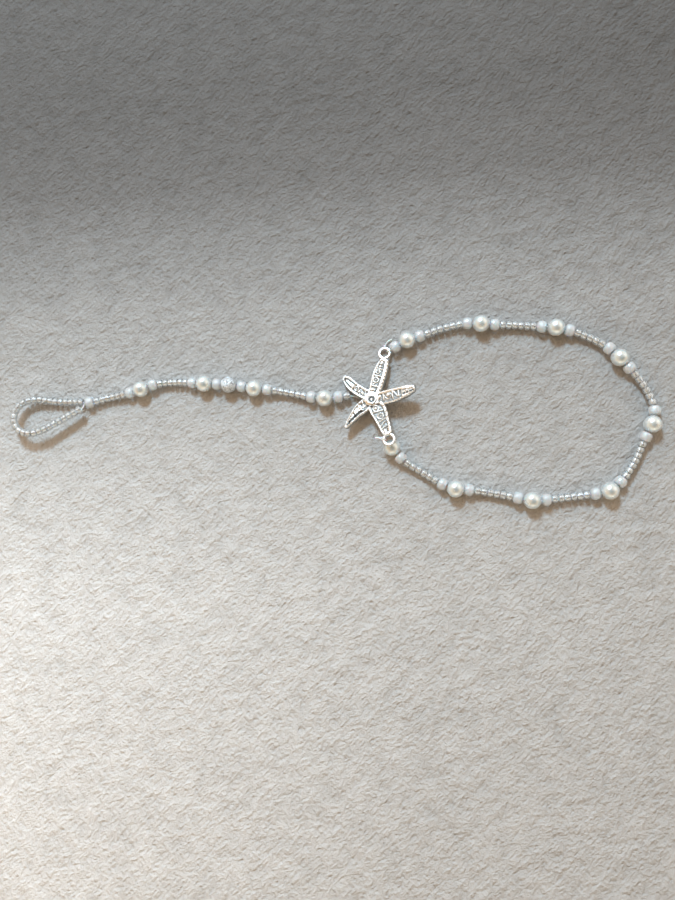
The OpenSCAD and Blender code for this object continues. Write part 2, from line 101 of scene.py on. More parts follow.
ANKLE_START, STRAND_START, TOE_START_D = 2.57, 5.6, 2.2


def smooth_curve(points, steps=8):
    p = np.array(points, float)
    h = np.linalg.norm(np.diff(p, axis=0), axis=1)
    d = np.diff(p, axis=0) / h[:, None]
    m = np.zeros_like(p)
    m[0], m[-1] = d[0], d[-1]
    for i in range(1, len(p) - 1):
        m[i] = (d[i - 1] * h[i] + d[i] * h[i - 1]) / (h[i - 1] + h[i])
    out = []
    for i in range(len(p) - 1):
        for k in range(steps):
            t = k / steps
            out.append(p[i] * (2 * t ** 3 - 3 * t * t + 1) + m[i] * h[i] * (t ** 3 - 2 * t * t + t)
                       + p[i + 1] * (3 * t * t - 2 * t ** 3) + m[i + 1] * h[i] * (t ** 3 - t * t))
    out.append(p[-1])
    return np.array(out)


def own_len(kind):
    return PEARL_LEN if kind in ("pearl", "silver") else OPAL_LEN


def beads(points, rows, start):
    """The beads along a route: kind, row, index in the row, length, place and direction."""
    c = smooth_curve(points)
    s = np.concatenate([[0], np.cumsum(np.linalg.norm(np.diff(c, axis=0), axis=1))])
    out, at = [], start
    for r, (kind, count, pitch) in enumerate(rows):
        pitch = pitch if pitch > 0 else own_len(kind) + BEAD_GAP
        for k in range(count):
            d = at + (k + 0.5) * pitch
            x, y = np.interp(d, s, c[:, 0]), np.interp(d, s, c[:, 1])
            if c.shape[1] == 3:
                z = np.interp(d, s, c[:, 2])
            elif kind in ("pearl", "silver"):
                z = PEARL_D / 2
            elif kind == "opal":
                z = OPAL_Z
            elif count == 1:
                z = (OPAL_Z + SEED_Z) / 2
            else:
                t = 2 * (k + 0.5) / count - 1
                z = SEED_Z + (OPAL_Z - SEED_Z) * 0.8 * t * t
            length = pitch - BEAD_GAP - SEED_GAP if kind == "seed" else own_len(kind)
            out.append({"kind": kind, "row": r, "k": k, "len": length, "p": np.array([x, y, z])})
        at += count * pitch
    for i, b in enumerate(out):
        v = out[min(i + 1, len(out) - 1)]["p"] - out[max(i - 1, 0)]["p"]
        b["d"] = v / np.linalg.norm(v)
    return out


A_B = beads(ANKLE_PTS, ANKLE_ROWS, ANKLE_START)
S_B = beads(STRAND_PTS, STRAND_ROWS, STRAND_START)
T_B = beads(TOE_PTS, TOE_ROWS, TOE_START_D)


def thread_line(b):
    out = []
    for i, bead in enumerate(b):
        out.append(bead["p"])
        if i < len(b) - 1 and {bead["kind"], b[i + 1]["kind"]} & {"pearl", "silver"}:
            n = b[i + 1]
            out.append((bead["p"] + bead["len"] / 2 * bead["d"] + n["p"] - n["len"] / 2 * n["d"]) / 2)
    return out


# ---------------------------------------------------------------- mesh helpers
MM = 0.001
rng = np.random.default_rng(41)
made = []


def new_piece(name, verts, faces, mats, nodes=(), mat_index=None, sharp=None, attrs=None):
    """A mesh piece from vertices in millimetres, riding on the body."""
    me = bpy.data.meshes.new(name)
    v = np.asarray(verts, float) * MM
    me.from_pydata(v.tolist(), [], [tuple(int(i) for i in f) for f in faces])
    me.polygons.foreach_set("use_smooth", [True] * len(me.polygons))
    for m in mats:
        me.materials.append(m)
    if mat_index is not None:
        me.polygons.foreach_set("material_index", [int(i) for i in mat_index])
    for key, values in (attrs or {}).items():
        a = me.attributes.new(key, "FLOAT", "POINT")
        a.data.foreach_set("value", np.asarray(values, np.float32))
    me.update()
    if sharp is not None:
        me.set_sharp_from_angle(angle=math.radians(sharp))
    ob = bpy.data.objects.new(name, me)
    bpy.context.scene.collection.objects.link(ob)
    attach(ob, "root")
    if nodes:
        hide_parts(*nodes)
    made.append(ob)
    return ob


def frame_of(d, roll=0.0):
    """Columns: along the thread, sideways, up."""
    d = np.asarray(d, float) / np.linalg.norm(d)
    y = np.cross([0, 0, 1.0], d)
    y /= np.linalg.norm(y)
    z = np.cross(d, y)
    c, s = math.cos(roll), math.sin(roll)
    return np.stack([d, c * y + s * z, -s * y + c * z], axis=1)


def ring_mesh(rings, closed=True):
    """Faces for rings of equal count, joined in a tube; closed also joins the last ring to the first."""
    m, n = len(rings), len(rings[0])
    verts = np.concatenate(rings)
    faces = []
    for i in range(m if closed else m - 1):
        j = (i + 1) % m
        for k in range(n):
            q = (k + 1) % n
            faces.append((i * n + k, i * n + q, j * n + q, j * n + k))
    return verts, faces


def bored_bead(outer, bore, around, inner_steps=6, square=0.0, roll=0.0, dents=None):
    """A bead bored along x. outer is its outer profile as (x, r) from one mouth to the other; bore is the bore's profile back.
    square above 0 makes the bore a rounded square of that exponent."""
    a = np.arange(around) * 2 * math.pi / around
    rings = []
    for x, r in outer:
        rr = np.full(around, r)
        rings.append(np.stack([np.full(around, x), rr * np.cos(a), rr * np.sin(a)], 1))
    n_out = len(outer)
    for x, r in bore:
        rr = np.full(around, r)
        if square > 0:
            c, s = np.abs(np.cos(a + roll)), np.abs(np.sin(a + roll))
            rr = r / (c ** square + s ** square) ** (1 / square) / 1.04
        rings.append(np.stack([np.full(around, x), rr * np.cos(a), rr * np.sin(a)], 1))
    if dents is not None:
        rings = [dents(i, q, n_out) for i, q in enumerate(rings)]
    v, f = ring_mesh(rings)
    idx = np.repeat((np.arange(len(rings)) >= n_out - 1) & (np.arange(len(rings)) < len(rings) - 1), around)
    return v, f, idx.astype(int)


def wobble(v, amount, seed, scale):
    """Soft unevenness: a few random plane waves, the same on every run."""
    g = np.random.default_rng(seed)
    out = np.zeros(len(v))
    for _ in range(7):
        k = g.normal(size=3) * scale
        out += np.sin(v @ k + g.uniform(0, 6.28)) * g.uniform(0.4, 1)
    return amount * out / 4


def arc(cx, cr, rad, a0, a1, n):
    return [(cx + rad * math.cos(t), cr + rad * math.sin(t)) for t in np.linspace(math.radians(a0), math.radians(a1), n)]


def pearl_profile(r, bore):
    """A ball with a small rolled lip where the coating turns into the bore."""
    lip = 0.1
    a = math.asin((bore / 2 + lip) / r)
    pts = [(-r * math.cos(t), r * math.sin(t)) for t in np.linspace(a, math.pi - a, 45)]
    x_end = r * math.cos(a)
    left = [(-x_end + lip * 0.55 + lip * math.cos(t), bore / 2 + lip + 0.02 - lip * math.sin(t)) for t in np.linspace(math.pi / 2, math.pi * 0.95, 4)]
    left = [(x, q) for x, q in left]
    right = [(-x, q) for x, q in reversed(left)]
    return left + pts + right, x_end


def rocaille_profile(length, d, corner, hole, bulge=0.0):
    """A short tube bead with round shoulders, from one end face to the other."""
    r, h = d / 2, length / 2
    c = min(corner, h - 0.02)
    out = [(-h, hole + 0.1)]
    out += [(-h, q) for q in np.linspace(hole + 0.1, r - c, 3)[1:-1]]
    out += [(-h + c + c * math.cos(t), r - c + c * math.sin(t)) for t in np.linspace(math.pi, math.pi / 2, 9)]
    mid = [(x, r + bulge * (1 - (x / max(h - c, 0.01)) ** 2)) for x in np.linspace(-(h - c), h - c, 5)[1:-1]] if h - c > 0.03 else []
    out += mid
    out += [(-x, q) for x, q in reversed(out[: len(out) - len(mid)])]
    return out


def round_profile(length, d, hole, power):
    """A rounded bead's side, from one mouth over the shoulders to the other."""
    h, r0 = length / 2, hole + 0.03
    t = np.linspace(math.radians(8), math.radians(172), 27)
    x = -h * np.sign(np.cos(t)) * np.abs(np.cos(t)) ** (2 / power)
    r = r0 + (d / 2 - r0) * np.abs(np.sin(t)) ** (2 / power)
    return [(x[0] + 0.06, hole + 0.0)] + list(zip(x, r)) + [(x[-1] - 0.06, hole + 0.0)]


# ---------------------------------------------------------------- materials
def material(name):
    m = bpy.data.materials.new(name)
    m.use_nodes = True
    nt = m.node_tree
    for n in list(nt.nodes):
        nt.nodes.remove(n)
    out = nt.nodes.new("ShaderNodeOutputMaterial")
    p = nt.nodes.new("ShaderNodeBsdfPrincipled")
    nt.links.new(p.outputs["BSDF"], out.inputs["Surface"])
    return m, nt, p


def node(nt, kind, **inputs):
    n = nt.nodes.new(kind)
    for k, v in inputs.items():
        if hasattr(n, k) and k not in n.inputs:
            setattr(n, k, v)
        else:
            n.inputs[k].default_value = v
    return n


def noise(nt, coord, scale, detail=3.0, rough=0.5):
    n = nt.nodes.new("ShaderNodeTexNoise")
    n.inputs["Scale"].default_value = scale
    n.inputs["Detail"].default_value = detail
    n.inputs["Roughness"].default_value = rough
    nt.links.new(coord, n.inputs["Vector"])
    return n.outputs["Fac"]


def ramp(nt, fac, stops):
    r = nt.nodes.new("ShaderNodeValToRGB")
    e = r.color_ramp.elements
    while len(e) < len(stops):
        e.new(0.5)
    for el, (pos, col) in zip(e, stops):
        el.position = pos
        el.color = (*col, 1)
    nt.links.new(fac, r.inputs["Fac"])
    return r.outputs["Color"]


def remap(nt, fac, a, b, c, d):
    n = nt.nodes.new("ShaderNodeMapRange")
    n.inputs["From Min"].default_value, n.inputs["From Max"].default_value = a, b
    n.inputs["To Min"].default_value, n.inputs["To Max"].default_value = c, d
    nt.links.new(fac, n.inputs["Value"])
    return n.outputs["Result"]


def math_node(nt, op, a, b):
    n = nt.nodes.new("ShaderNodeMath")
    n.operation = op
    for i, v in enumerate((a, b)):
        if isinstance(v, (int, float)):
            n.inputs[i].default_value = v
        else:
            nt.links.new(v, n.inputs[i])
    return n.outputs[0]


def bump(nt, height, strength, distance, onto=None):
    b = nt.nodes.new("ShaderNodeBump")
    b.inputs["Strength"].default_value = strength
    b.inputs["Distance"].default_value = distance
    nt.links.new(height, b.inputs["Height"])
    if onto is not None:
        nt.links.new(onto, b.inputs["Normal"])
    return b.outputs["Normal"]


def obj_coord(nt):
    return nt.nodes.new("ShaderNodeTexCoord").outputs["Object"]


def make_pearl():
    m, nt, p = material("pearl_nacre")
    c = obj_coord(nt)
    col = ramp(nt, noise(nt, c, 260, 3), [(0.3, (0.645, 0.718, 0.73)), (0.55, (0.705, 0.772, 0.78)), (0.75, (0.765, 0.822, 0.823))])
    nt.links.new(col, p.inputs["Base Color"])
    nt.links.new(remap(nt, noise(nt, c, 500, 2), 0.3, 0.7, 0.21, 0.28), p.inputs["Roughness"])
    p.inputs["Metallic"].default_value = 0.55
    p.inputs["Sheen Weight"].default_value = 0.6
    p.inputs["Sheen Roughness"].default_value = 0.35
    p.inputs["Sheen Tint"].default_value = (1.0, 0.94, 0.84, 1.0)
    p.inputs["Coat Weight"].default_value = 0.9
    p.inputs["Coat Roughness"].default_value = 0.17
    p.inputs["Coat IOR"].default_value = 1.6
    p.inputs["Subsurface Weight"].default_value = 1.0
    p.inputs["Subsurface Radius"].default_value = (0.7, 0.92, 1.0)
    p.inputs["Subsurface Scale"].default_value = 0.0038
    nt.links.new(bump(nt, noise(nt, c, 1400, 4), 0.12, 0.0001), p.inputs["Normal"])
    return m


def make_bore():
    m, nt, p = material("pearl_core_glass")
    c = obj_coord(nt)
    nt.links.new(ramp(nt, noise(nt, c, 1500, 2), [(0.3, (0.50, 0.48, 0.43)), (0.7, (0.68, 0.66, 0.60))]), p.inputs["Base Color"])
    p.inputs["Roughness"].default_value = 0.5
    return m


def make_opal():
    m, nt, p = material("opal_milk_glass")
    c = obj_coord(nt)
    col = ramp(nt, noise(nt, c, 420, 3), [(0.3, (0.74, 0.865, 1.0)), (0.7, (0.83, 0.92, 1.0))])
    nt.links.new(col, p.inputs["Base Color"])
    nt.links.new(remap(nt, noise(nt, c, 700, 2), 0.3, 0.7, 0.10, 0.20), p.inputs["Roughness"])
    p.inputs["IOR"].default_value = 1.45
    p.inputs["Transmission Weight"].default_value = 0.42
    p.inputs["Subsurface Weight"].default_value = 1.0
    p.inputs["Subsurface Radius"].default_value = (0.65, 0.9, 1.0)
    p.inputs["Subsurface Scale"].default_value = 0.0042
    p.inputs["Sheen Weight"].default_value = 0.75
    p.inputs["Sheen Roughness"].default_value = 0.35
    p.inputs["Sheen Tint"].default_value = (0.90, 0.95, 1.0, 1.0)
    p.inputs["Coat Weight"].default_value = 1.0
    p.inputs["Coat Roughness"].default_value = 0.10
    p.inputs["Coat IOR"].default_value = 1.6
    nt.links.new(bump(nt, noise(nt, c, 1100, 2), 0.06, 0.0001), p.inputs["Normal"])
    return m


def make_seed_glass():
    m, nt, p = material("crystal_seed_glass")
    c = obj_coord(nt)
    col = ramp(nt, noise(nt, c, 900, 2), [(0.3, (0.86, 0.865, 0.86)), (0.7, (0.95, 0.955, 0.95))])
    nt.links.new(col, p.inputs["Base Color"])
    nt.links.new(remap(nt, noise(nt, c, 1500, 2), 0.3, 0.7, 0.02, 0.07), p.inputs["Roughness"])
    p.inputs["IOR"].default_value = 1.5
    p.inputs["Transmission Weight"].default_value = 0.86
    nt.links.new(bump(nt, noise(nt, c, 1600, 2), 0.05, 0.0001), p.inputs["Normal"])
    return m


def make_lining():
    m, nt, p = material("seed_silver_lining")
    c = obj_coord(nt)
    col = ramp(nt, noise(nt, c, 1800, 3), [(0.35, (0.66, 0.745, 0.81)), (0.65, (0.88, 0.955, 1.0))])
    nt.links.new(col, p.inputs["Base Color"])
    p.inputs["Metallic"].default_value = 0.9
    nt.links.new(remap(nt, noise(nt, c, 2500, 2), 0.3, 0.7, 0.22, 0.34), p.inputs["Roughness"])
    nt.links.new(bump(nt, noise(nt, c, 2600, 3), 0.2, 0.0001), p.inputs["Normal"])
    return m


def make_stardust():
    m, nt, p = material("stardust_silver")
    c = obj_coord(nt)
    v = nt.nodes.new("ShaderNodeTexVoronoi")
    v.inputs["Scale"].default_value = 3600
    nt.links.new(c, v.inputs["Vector"])
    n2 = noise(nt, c, 1250, 4, 0.65)
    # the colour follows the same noise as the bump, darker where the surface lies lower: partly the grains' own dark
    # gaps, partly painted shade between them
    col = ramp(nt, n2, [(0.36, (0.26, 0.26, 0.25)), (0.48, (0.74, 0.79, 0.83)), (0.62, (0.93, 0.98, 1.0))])
    nt.links.new(col, p.inputs["Base Color"])
    p.inputs["Metallic"].default_value = 1.0
    nt.links.new(remap(nt, v.outputs["Distance"], 0.0, 0.6, 0.18, 0.4), p.inputs["Roughness"])
    b = bump(nt, v.outputs["Distance"], 0.9, 0.00014)
    nt.links.new(bump(nt, n2, 0.9, 0.0006, b), p.inputs["Normal"])
    return m


def make_antique():
    m, nt, p = material("antique_silver")
    c = obj_coord(nt)
    a = nt.nodes.new("ShaderNodeAttribute")
    a.attribute_name = "cavity"
    n1 = noise(nt, c, 900, 4, 0.6)
    f = math_node(nt, "ADD", a.outputs["Fac"], remap(nt, n1, 0.3, 0.7, -0.16, 0.16))
    col = ramp(nt, f, [(0.08, (0.86, 0.855, 0.83)), (0.30, (0.60, 0.595, 0.57)), (0.56, (0.38, 0.37, 0.35)), (0.9, (0.19, 0.185, 0.17))])
    nt.links.new(col, p.inputs["Base Color"])
    p.inputs["Metallic"].default_value = 0.92
    r = math_node(nt, "ADD", remap(nt, f, 0.1, 0.8, 0.25, 0.42), remap(nt, noise(nt, c, 2200, 3), 0.3, 0.7, -0.05, 0.07))
    nt.links.new(r, p.inputs["Roughness"])
    b = bump(nt, noise(nt, c, 1100, 4, 0.55), 0.7, 0.00016)
    nt.links.new(bump(nt, noise(nt, c, 4200, 2), 0.15, 0.00005, b), p.inputs["Normal"])
    return m


def make_elastic():
    m, nt, p = material("clear_elastic")
    c = obj_coord(nt)
    col = ramp(nt, noise(nt, c, 1200, 2), [(0.3, (0.84, 0.88, 0.90)), (0.7, (0.93, 0.965, 0.985))])
    nt.links.new(col, p.inputs["Base Color"])
    nt.links.new(remap(nt, noise(nt, c, 1600, 2), 0.3, 0.7, 0.15, 0.3), p.inputs["Roughness"])
    p.inputs["IOR"].default_value = 1.45
    p.inputs["Transmission Weight"].default_value = 0.15
    p.inputs["Subsurface Weight"].default_value = 0.6
    p.inputs["Subsurface Scale"].default_value = 0.0004
    return m


PEARL, BORE, OPAL, GLASS, LINING, STARDUST, ANTIQUE, ELASTIC = (
    make_pearl(), make_bore(), make_opal(), make_seed_glass(), make_lining(), make_stardust(), make_antique(), make_elastic())


# ---------------------------------------------------------------- pearls, opals, silver bead
def place(v, b, roll=0.0, tilt=0.0, pitch=0.0):
    f = frame_of(b["d"], roll)
    if tilt or pitch:
        t = Matrix.Rotation(tilt, 3, "Z") @ Matrix.Rotation(pitch, 3, "Y")
        v = v @ np.array(t).T
    return v @ f.T + b["p"]


pearls = [b for b in A_B if b["kind"] == "pearl"] + [b for b in S_B if b["kind"] == "pearl"]
opals = [b for b in A_B if b["kind"] == "opal"] + [b for b in S_B if b["kind"] == "opal"]
for i, b in enumerate(pearls):
    lo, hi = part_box(f"pearl_{i + 1}")
    mid = np.array((lo + hi) / 2) / MM
    if np.linalg.norm(mid - b["p"]) > 0.05:
        raise RuntimeError(f"pearl {i + 1} isn't where the CAD has it")
    prof, x_end = pearl_profile(PEARL_D / 2, PEARL_BORE)
    bore = [(x, PEARL_BORE / 2 + 0.02) for x in np.linspace(x_end - 0.12, -x_end + 0.12, 7)]
    v, f, idx = bored_bead(prof, bore, 56)
    r = np.linalg.norm(v, axis=1)
    k = 1 - 0.006 + wobble(v, 0.004, 100 + i, 0.8) * (r > 1.5)
    v = v * k[:, None]
    new_piece(f"pearl_bead_{i + 1}", place(v, b, roll=rng.uniform(0, 6.28)), f, [PEARL, BORE], [f"pearl_{i + 1}"], idx, attrs=None)

for i, b in enumerate(opals):
    lo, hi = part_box(f"opal_{i + 1}")
    mid = np.array((lo + hi) / 2) / MM
    if np.linalg.norm(mid - b["p"]) > 0.05:
        raise RuntimeError(f"opal {i + 1} isn't where the CAD has it")
    d = OPAL_D * rng.uniform(0.975, 0.998)
    ln = OPAL_LEN * rng.uniform(0.965, 0.995)
    prof = round_profile(ln, d, OPAL_BORE / 2, 2.5)
    bore = [(x, OPAL_BORE / 2) for x in np.linspace(ln / 2 - 0.12, -ln / 2 + 0.12, 6)]
    v, f, idx = bored_bead(prof, bore, 48)
    v = v * (1 - 0.006 + wobble(v, 0.006, 300 + i, 1.0))[:, None]
    new_piece(f"opal_bead_{i + 1}", place(v, b, roll=rng.uniform(0, 6.28), tilt=rng.normal() * 0.008, pitch=rng.normal() * 0.008), f,
              [OPAL], [f"opal_{i + 1}"])

silver = [b for b in S_B if b["kind"] == "silver"][0]


def grain(v, seed):
    """Packed round grains on the stardust bead, as a height from the nearest of many spread points."""
    g = np.random.default_rng(seed)
    n = 1500
    i = np.arange(n) + 0.5
    ph, th = np.arccos(1 - 2 * i / n), math.pi * (1 + 5 ** 0.5) * i
    c = np.stack([np.cos(th) * np.sin(ph), np.sin(th) * np.sin(ph), np.cos(ph)], 1)
    c += g.normal(size=c.shape) * 0.028
    c /= np.linalg.norm(c, axis=1)[:, None]
    u = v / np.linalg.norm(v, axis=1)[:, None]
    out = np.zeros(len(v))
    size = g.uniform(0.75, 1.2, n)
    for a in range(0, len(u), 2000):
        q = np.arccos(np.clip(u[a:a + 2000] @ c.T, -1, 1)) / size[None, :]
        out[a:a + 2000] = q.min(1)
    return np.sqrt(np.clip(1 - (out / 0.062) ** 2, 0, 1))


prof, x_end = pearl_profile(PEARL_D / 2, PEARL_BORE)
body = [(-PEARL_D / 2 * math.cos(t), PEARL_D / 2 * math.sin(t)) for t in np.linspace(math.asin(0.8 / (PEARL_D / 2)), math.pi - math.asin(0.8 / (PEARL_D / 2)), 150)]
prof = prof[:4] + body + prof[-4:]
bore = [(x, PEARL_BORE / 2 + 0.02) for x in np.linspace(x_end - 0.12, -x_end + 0.12, 7)]
v, f, idx = bored_bead(prof, bore, 300)
r = np.linalg.norm(v, axis=1)
v = v * (1 - 0.012 + 0.03 * grain(v, 5) * np.clip((r - 2.6) / 0.25, 0, 1) - 0.02)[:, None]
new_piece("stardust_bead", place(v, silver, roll=0.7), f, [STARDUST], ["silver_bead"])


# ---------------------------------------------------------------- seed beads, in their runs
def seed_run(name, group, node_name, hole=0.92):
    vs, fs, ms, base = [], [], [], 0
    for b in group:
        d = SEED_D * rng.uniform(0.95, 0.985)
        ln = b["len"] * rng.uniform(0.955, 0.985)
        prof = round_profile(ln, d, hole, 2.5)
        lean, side = rng.normal() * 0.05, rng.uniform(0, 6.28)
        bore = [(x, hole * (1 - 0.18 * (2 * x / ln) ** 2)) for x in np.linspace(ln / 2 - 0.1, -ln / 2 + 0.1, 9)]
        v, f, idx = bored_bead(prof, bore, 36, roll=rng.uniform(0, 1.57))
        # the silvered hole leans a little in the bead
        inner = np.zeros(len(v), bool)
        inner[np.unique(np.array([q for q, k in zip(f, idx) if k == 1]).ravel())] = True
        shift = np.stack([np.zeros(len(v)), np.cos(side) * lean * v[:, 0], np.sin(side) * lean * v[:, 0]], 1)
        v = v * (1 - 0.006 + wobble(v, 0.007, int(rng.integers(1e6)), 1.6))[:, None] + shift * inner[:, None]
        v = place(v, b, roll=rng.uniform(0, 6.28), tilt=rng.normal() * 0.035, pitch=rng.normal() * 0.035)
        vs.append(v)
        fs += [tuple(np.array(q) + base) for q in f]
        ms += idx.tolist()
        base += len(v)
    new_piece(name, np.concatenate(vs), fs, [GLASS, LINING], [node_name], ms)


def runs(b, rows):
    return [[x for x in b if x["row"] == r] for r in range(len(rows)) if rows[r][0] == "seed"]


for i, g in enumerate(runs(A_B, ANKLE_ROWS)):
    seed_run(f"ankle_seed_beads_{i + 1}", g, f"ankle_seeds_{i + 1}")
for i, g in enumerate(runs(S_B, STRAND_ROWS)):
    seed_run(f"strand_seed_beads_{i + 1}", g, f"strand_seeds_{i + 1}")
for i, g in enumerate(runs(T_B, TOE_ROWS)):
    seed_run(f"toe_seed_beads_{i + 1}", g, f"toe_seeds_{i + 1}", 0.84)

# ---------------------------------------------------------------- starfish
STAR_AT = np.array([20.5, 5, 2.48])
ca, sa = math.cos(math.radians(-8.2)), math.sin(math.radians(-8.2))
cb, sb = math.cos(math.radians(-6.3)), math.sin(math.radians(-6.3))
STAR_R = np.array([[cb, 0, sb], [0, 1, 0], [-sb, 0, cb]]) @ np.array([[1, 0, 0], [0, ca, -sa], [0, sa, ca]])
EYE_UP, EYE_LOW, EYE_W, EYE_R, EYE_WIRE = (4.05, 16.5), (6.3, -14.6), 0.9, 1.825, 0.95

# angle; channel's start and end; tip radius; sections: distance, left edge, right edge
ARMS = {
    "A": [139.5, 2.4, 7.9, 1.1, [[0, 2, -2], [3, 2.2, -1.9], [5, 2.6, -1.5], [7, 2.8, -1.3], [9.6, 2.55, -1.35], [11.6, 2, -1.35], [12.4, 1.5, -0.9]]],
    "B": [73.8, 2.3, 14.1, 1.3, [[0, 2, -2], [4, 2.2, -2.4], [7, 2.5, -2.5], [9.2, 2.55, -2.5], [11.4, 2.35, -2.35], [13.2, 2, -2.15], [13.9, 1.7, -2]]],
    "C": [8.8, 2.2, 11.0, 1.1, [[0, 2.2, -2.2], [4.3, 2, -3.1], [6.3, 2.1, -3.1], [8.6, 2.05, -2.95], [11, 2, -2.45], [13.2, 2, -2], [14.8, 1.6, -1.2]]],
    "D": [-67, 2.4, 13.6, 1.7, [[0, 2, -2.2], [4.5, 3.6, -2.5], [6.9, 3.5, -2.1], [9, 3.1, -1.8], [11, 2.8, -1.6], [12.6, 2.5, -1.5], [13, 2.4, -1.4]]],
    "E": [-133, 2.2, 4.9, 0.8, [[0, 2, -2], [4.2, 2.2, -2.7], [6.6, 1.6, -2.6], [8.7, 1.35, -2.1], [10.4, 1.15, -1.6], [12.1, 1, -1.05], [12.9, 0.9, -0.7]]],
}
# rim widths left and right; scallops: side, start, end, pitch, depth
RIMS = {"A": (0.85, 0.75), "B": (0.75, 1.45), "C": (0.95, 0.62), "D": (1.0, 0.75), "E": (0.85, 0.75)}
SCALLOPS = {"A": ("right", 6.5, 13, 1.0, 0.13), "B": ("right", 4.6, 14, 1.3, 0.17), "C": ("right", 3.6, 15, 1.15, 0.15),
            "D": ("left", 4.5, 12.4, 1.75, 0.16), "E": ("left", 5.5, 12.6, 1.5, 0.1)}
# raised and sunk work in the arms: kind, then places along and across the arm
WORK = {
    "A": [("dome", 3.9, 0.45, 0.85, 0.42, 0, 0.62), ("ring", 3.9, 0.42, 1.08, 0.17, 0.28), ("dome", 5.35, 0.95, 0.34, 0.34, 0, 0.6),
          ("ring", 6.65, 0.5, 0.74, 0.22, 0.5), ("dome", 6.65, 0.5, 0.28, 0.28, 0, 0.42), ("bar", 5.1, -0.7, 5.6, 1.7, 0.2, 0.4),
          ("slot", 8.3, -0.25, 11.9, -0.05, 0.2, 0.42), ("slot", 8.6, 1.45, 11.9, 1.0, 0.2, 0.42), ("slot", 11.9, -0.05, 12.4, 0.5, 0.2, 0.36),
          ("slot", 11.9, 1.0, 12.4, 0.5, 0.2, 0.36), ("pit", 8.9, 0.6, 0.26, 0.3), ("pit", 10.2, 0.6, 0.26, 0.26)],
    "B": [("dome", 3.15, 0.72, 0.82, 0.82, 0, 0.68), ("bar", 4.65, -0.7, 4.65, 1.6, 0.26, 0.55), ("dome", 5.35, 0.95, 0.36, 0.36, 0, 0.5),
          ("ring", 6.9, 0.62, 0.92, 0.24, 0.52), ("dome", 6.9, 0.72, 0.36, 0.36, 0, 0.55), ("bar", 8.45, -0.6, 8.45, 1.7, 0.3, 0.62),
          ("ring", 9.85, 0.82, 0.68, 0.22, 0.5), ("dome", 9.85, 0.82, 0.24, 0.24, 0, 0.45), ("bar", 11.0, -0.5, 11.1, 1.5, 0.2, 0.42),
          ("dome", 11.85, 0.55, 0.46, 0.66, 25, 0.66), ("dome", 12.95, 0.55, 0.48, 0.5, 0, 0.6)],
    "C": [("dome", 2.95, 0.2, 0.45, 0.85, 0, 0.6), ("bar", 4.35, -1.3, 4.35, 1.0, 0.26, 0.62), ("dome", 5.95, 0.1, 0.74, 0.74, 0, 0.55),
          ("ring", 5.95, -0.1, 1.12, 0.18, 0.36), ("bar", 7.65, -1.6, 7.65, 1.0, 0.32, 0.66), ("bar", 8.15, 0.8, 9.3, -1.1, 0.26, 0.58),
          ("bar", 9.75, -1.2, 9.75, 1.0, 0.28, 0.58), ("slot", 11.5, -0.75, 14.9, -0.35, 0.42, 0.62), ("slot", 11.3, 0.35, 12.6, 0.5, 0.24, 0.4),
          ("slot", 13.3, 0.2, 15.1, 0.36, 0.18, 0.4), ("dome", 12.3, -0.62, 0.26, 0.3, 0, 0.5), ("dome", 13.4, -0.5, 0.26, 0.3, 0, 0.5)],
    "D": [("dome", 3.9, 0.0, 0.55, 0.55, 0, 0.55), ("ring", 3.9, 0.05, 1.0, 0.2, 0.42), ("bar", 4.85, -1.5, 5.45, 2.0, 0.24, 0.56),
          ("ring", 7.1, 0.55, 1.0, 0.22, 0.5), ("dome", 7.1, 0.6, 0.32, 0.32, 0, 0.5), ("bar", 8.5, 1.9, 9.0, -1.3, 0.22, 0.52),
          ("bar", 9.55, 1.2, 10.65, -1.2, 0.24, 0.56), ("bar", 11.05, 1.2, 11.6, -1.0, 0.26, 0.52), ("ring", 12.75, 1.15, 0.78, 0.2, 0.5),
          ("dome", 12.75, 1.25, 0.38, 0.38, 0, 0.58), ("dome", 6.2, 2.75, 0.85, 0.5, 0, 0.95), ("dome", 8.1, 2.45, 0.75, 0.46, -8, 0.92),
          ("dome", 9.8, 2.2, 0.65, 0.44, -8, 0.9), ("dome", 11.2, 2.05, 0.5, 0.42, 0, 0.88)],
    "E": [("dome", 3.6, -0.45, 0.5, 0.42, 0, 0.58), ("dome", 3.15, -1.45, 0.4, 0.36, 0, 0.5), ("ring", 3.45, -0.9, 1.12, 0.2, 0.42),
          ("slot", 4.9, 0.95, 5.8, 0.25, 0.32, 0.55), ("slot", 5.8, 0.2, 8.3, -0.05, 0.42, 0.62), ("slot", 8.3, -0.05, 11.0, -0.12, 0.36, 0.58),
          ("slot", 11.0, -0.05, 12.5, 0.1, 0.22, 0.5), ("pit", 6.8, 0.5, 0.3, 0.6), ("pit", 8.2, 0.42, 0.3, 0.6), ("pit", 9.7, 0.36, 0.3, 0.6),
          ("pit", 11.4, 0.32, 0.3, 0.6), ("slot", 7.9, -0.3, 7.95, -1.15, 0.2, 0.42)],
}
FLOOR_W, TOP_W, EDGE_W = 1.26, 1.8, 0.5
BEND_AT, BEND = 2.6, math.radians(9)


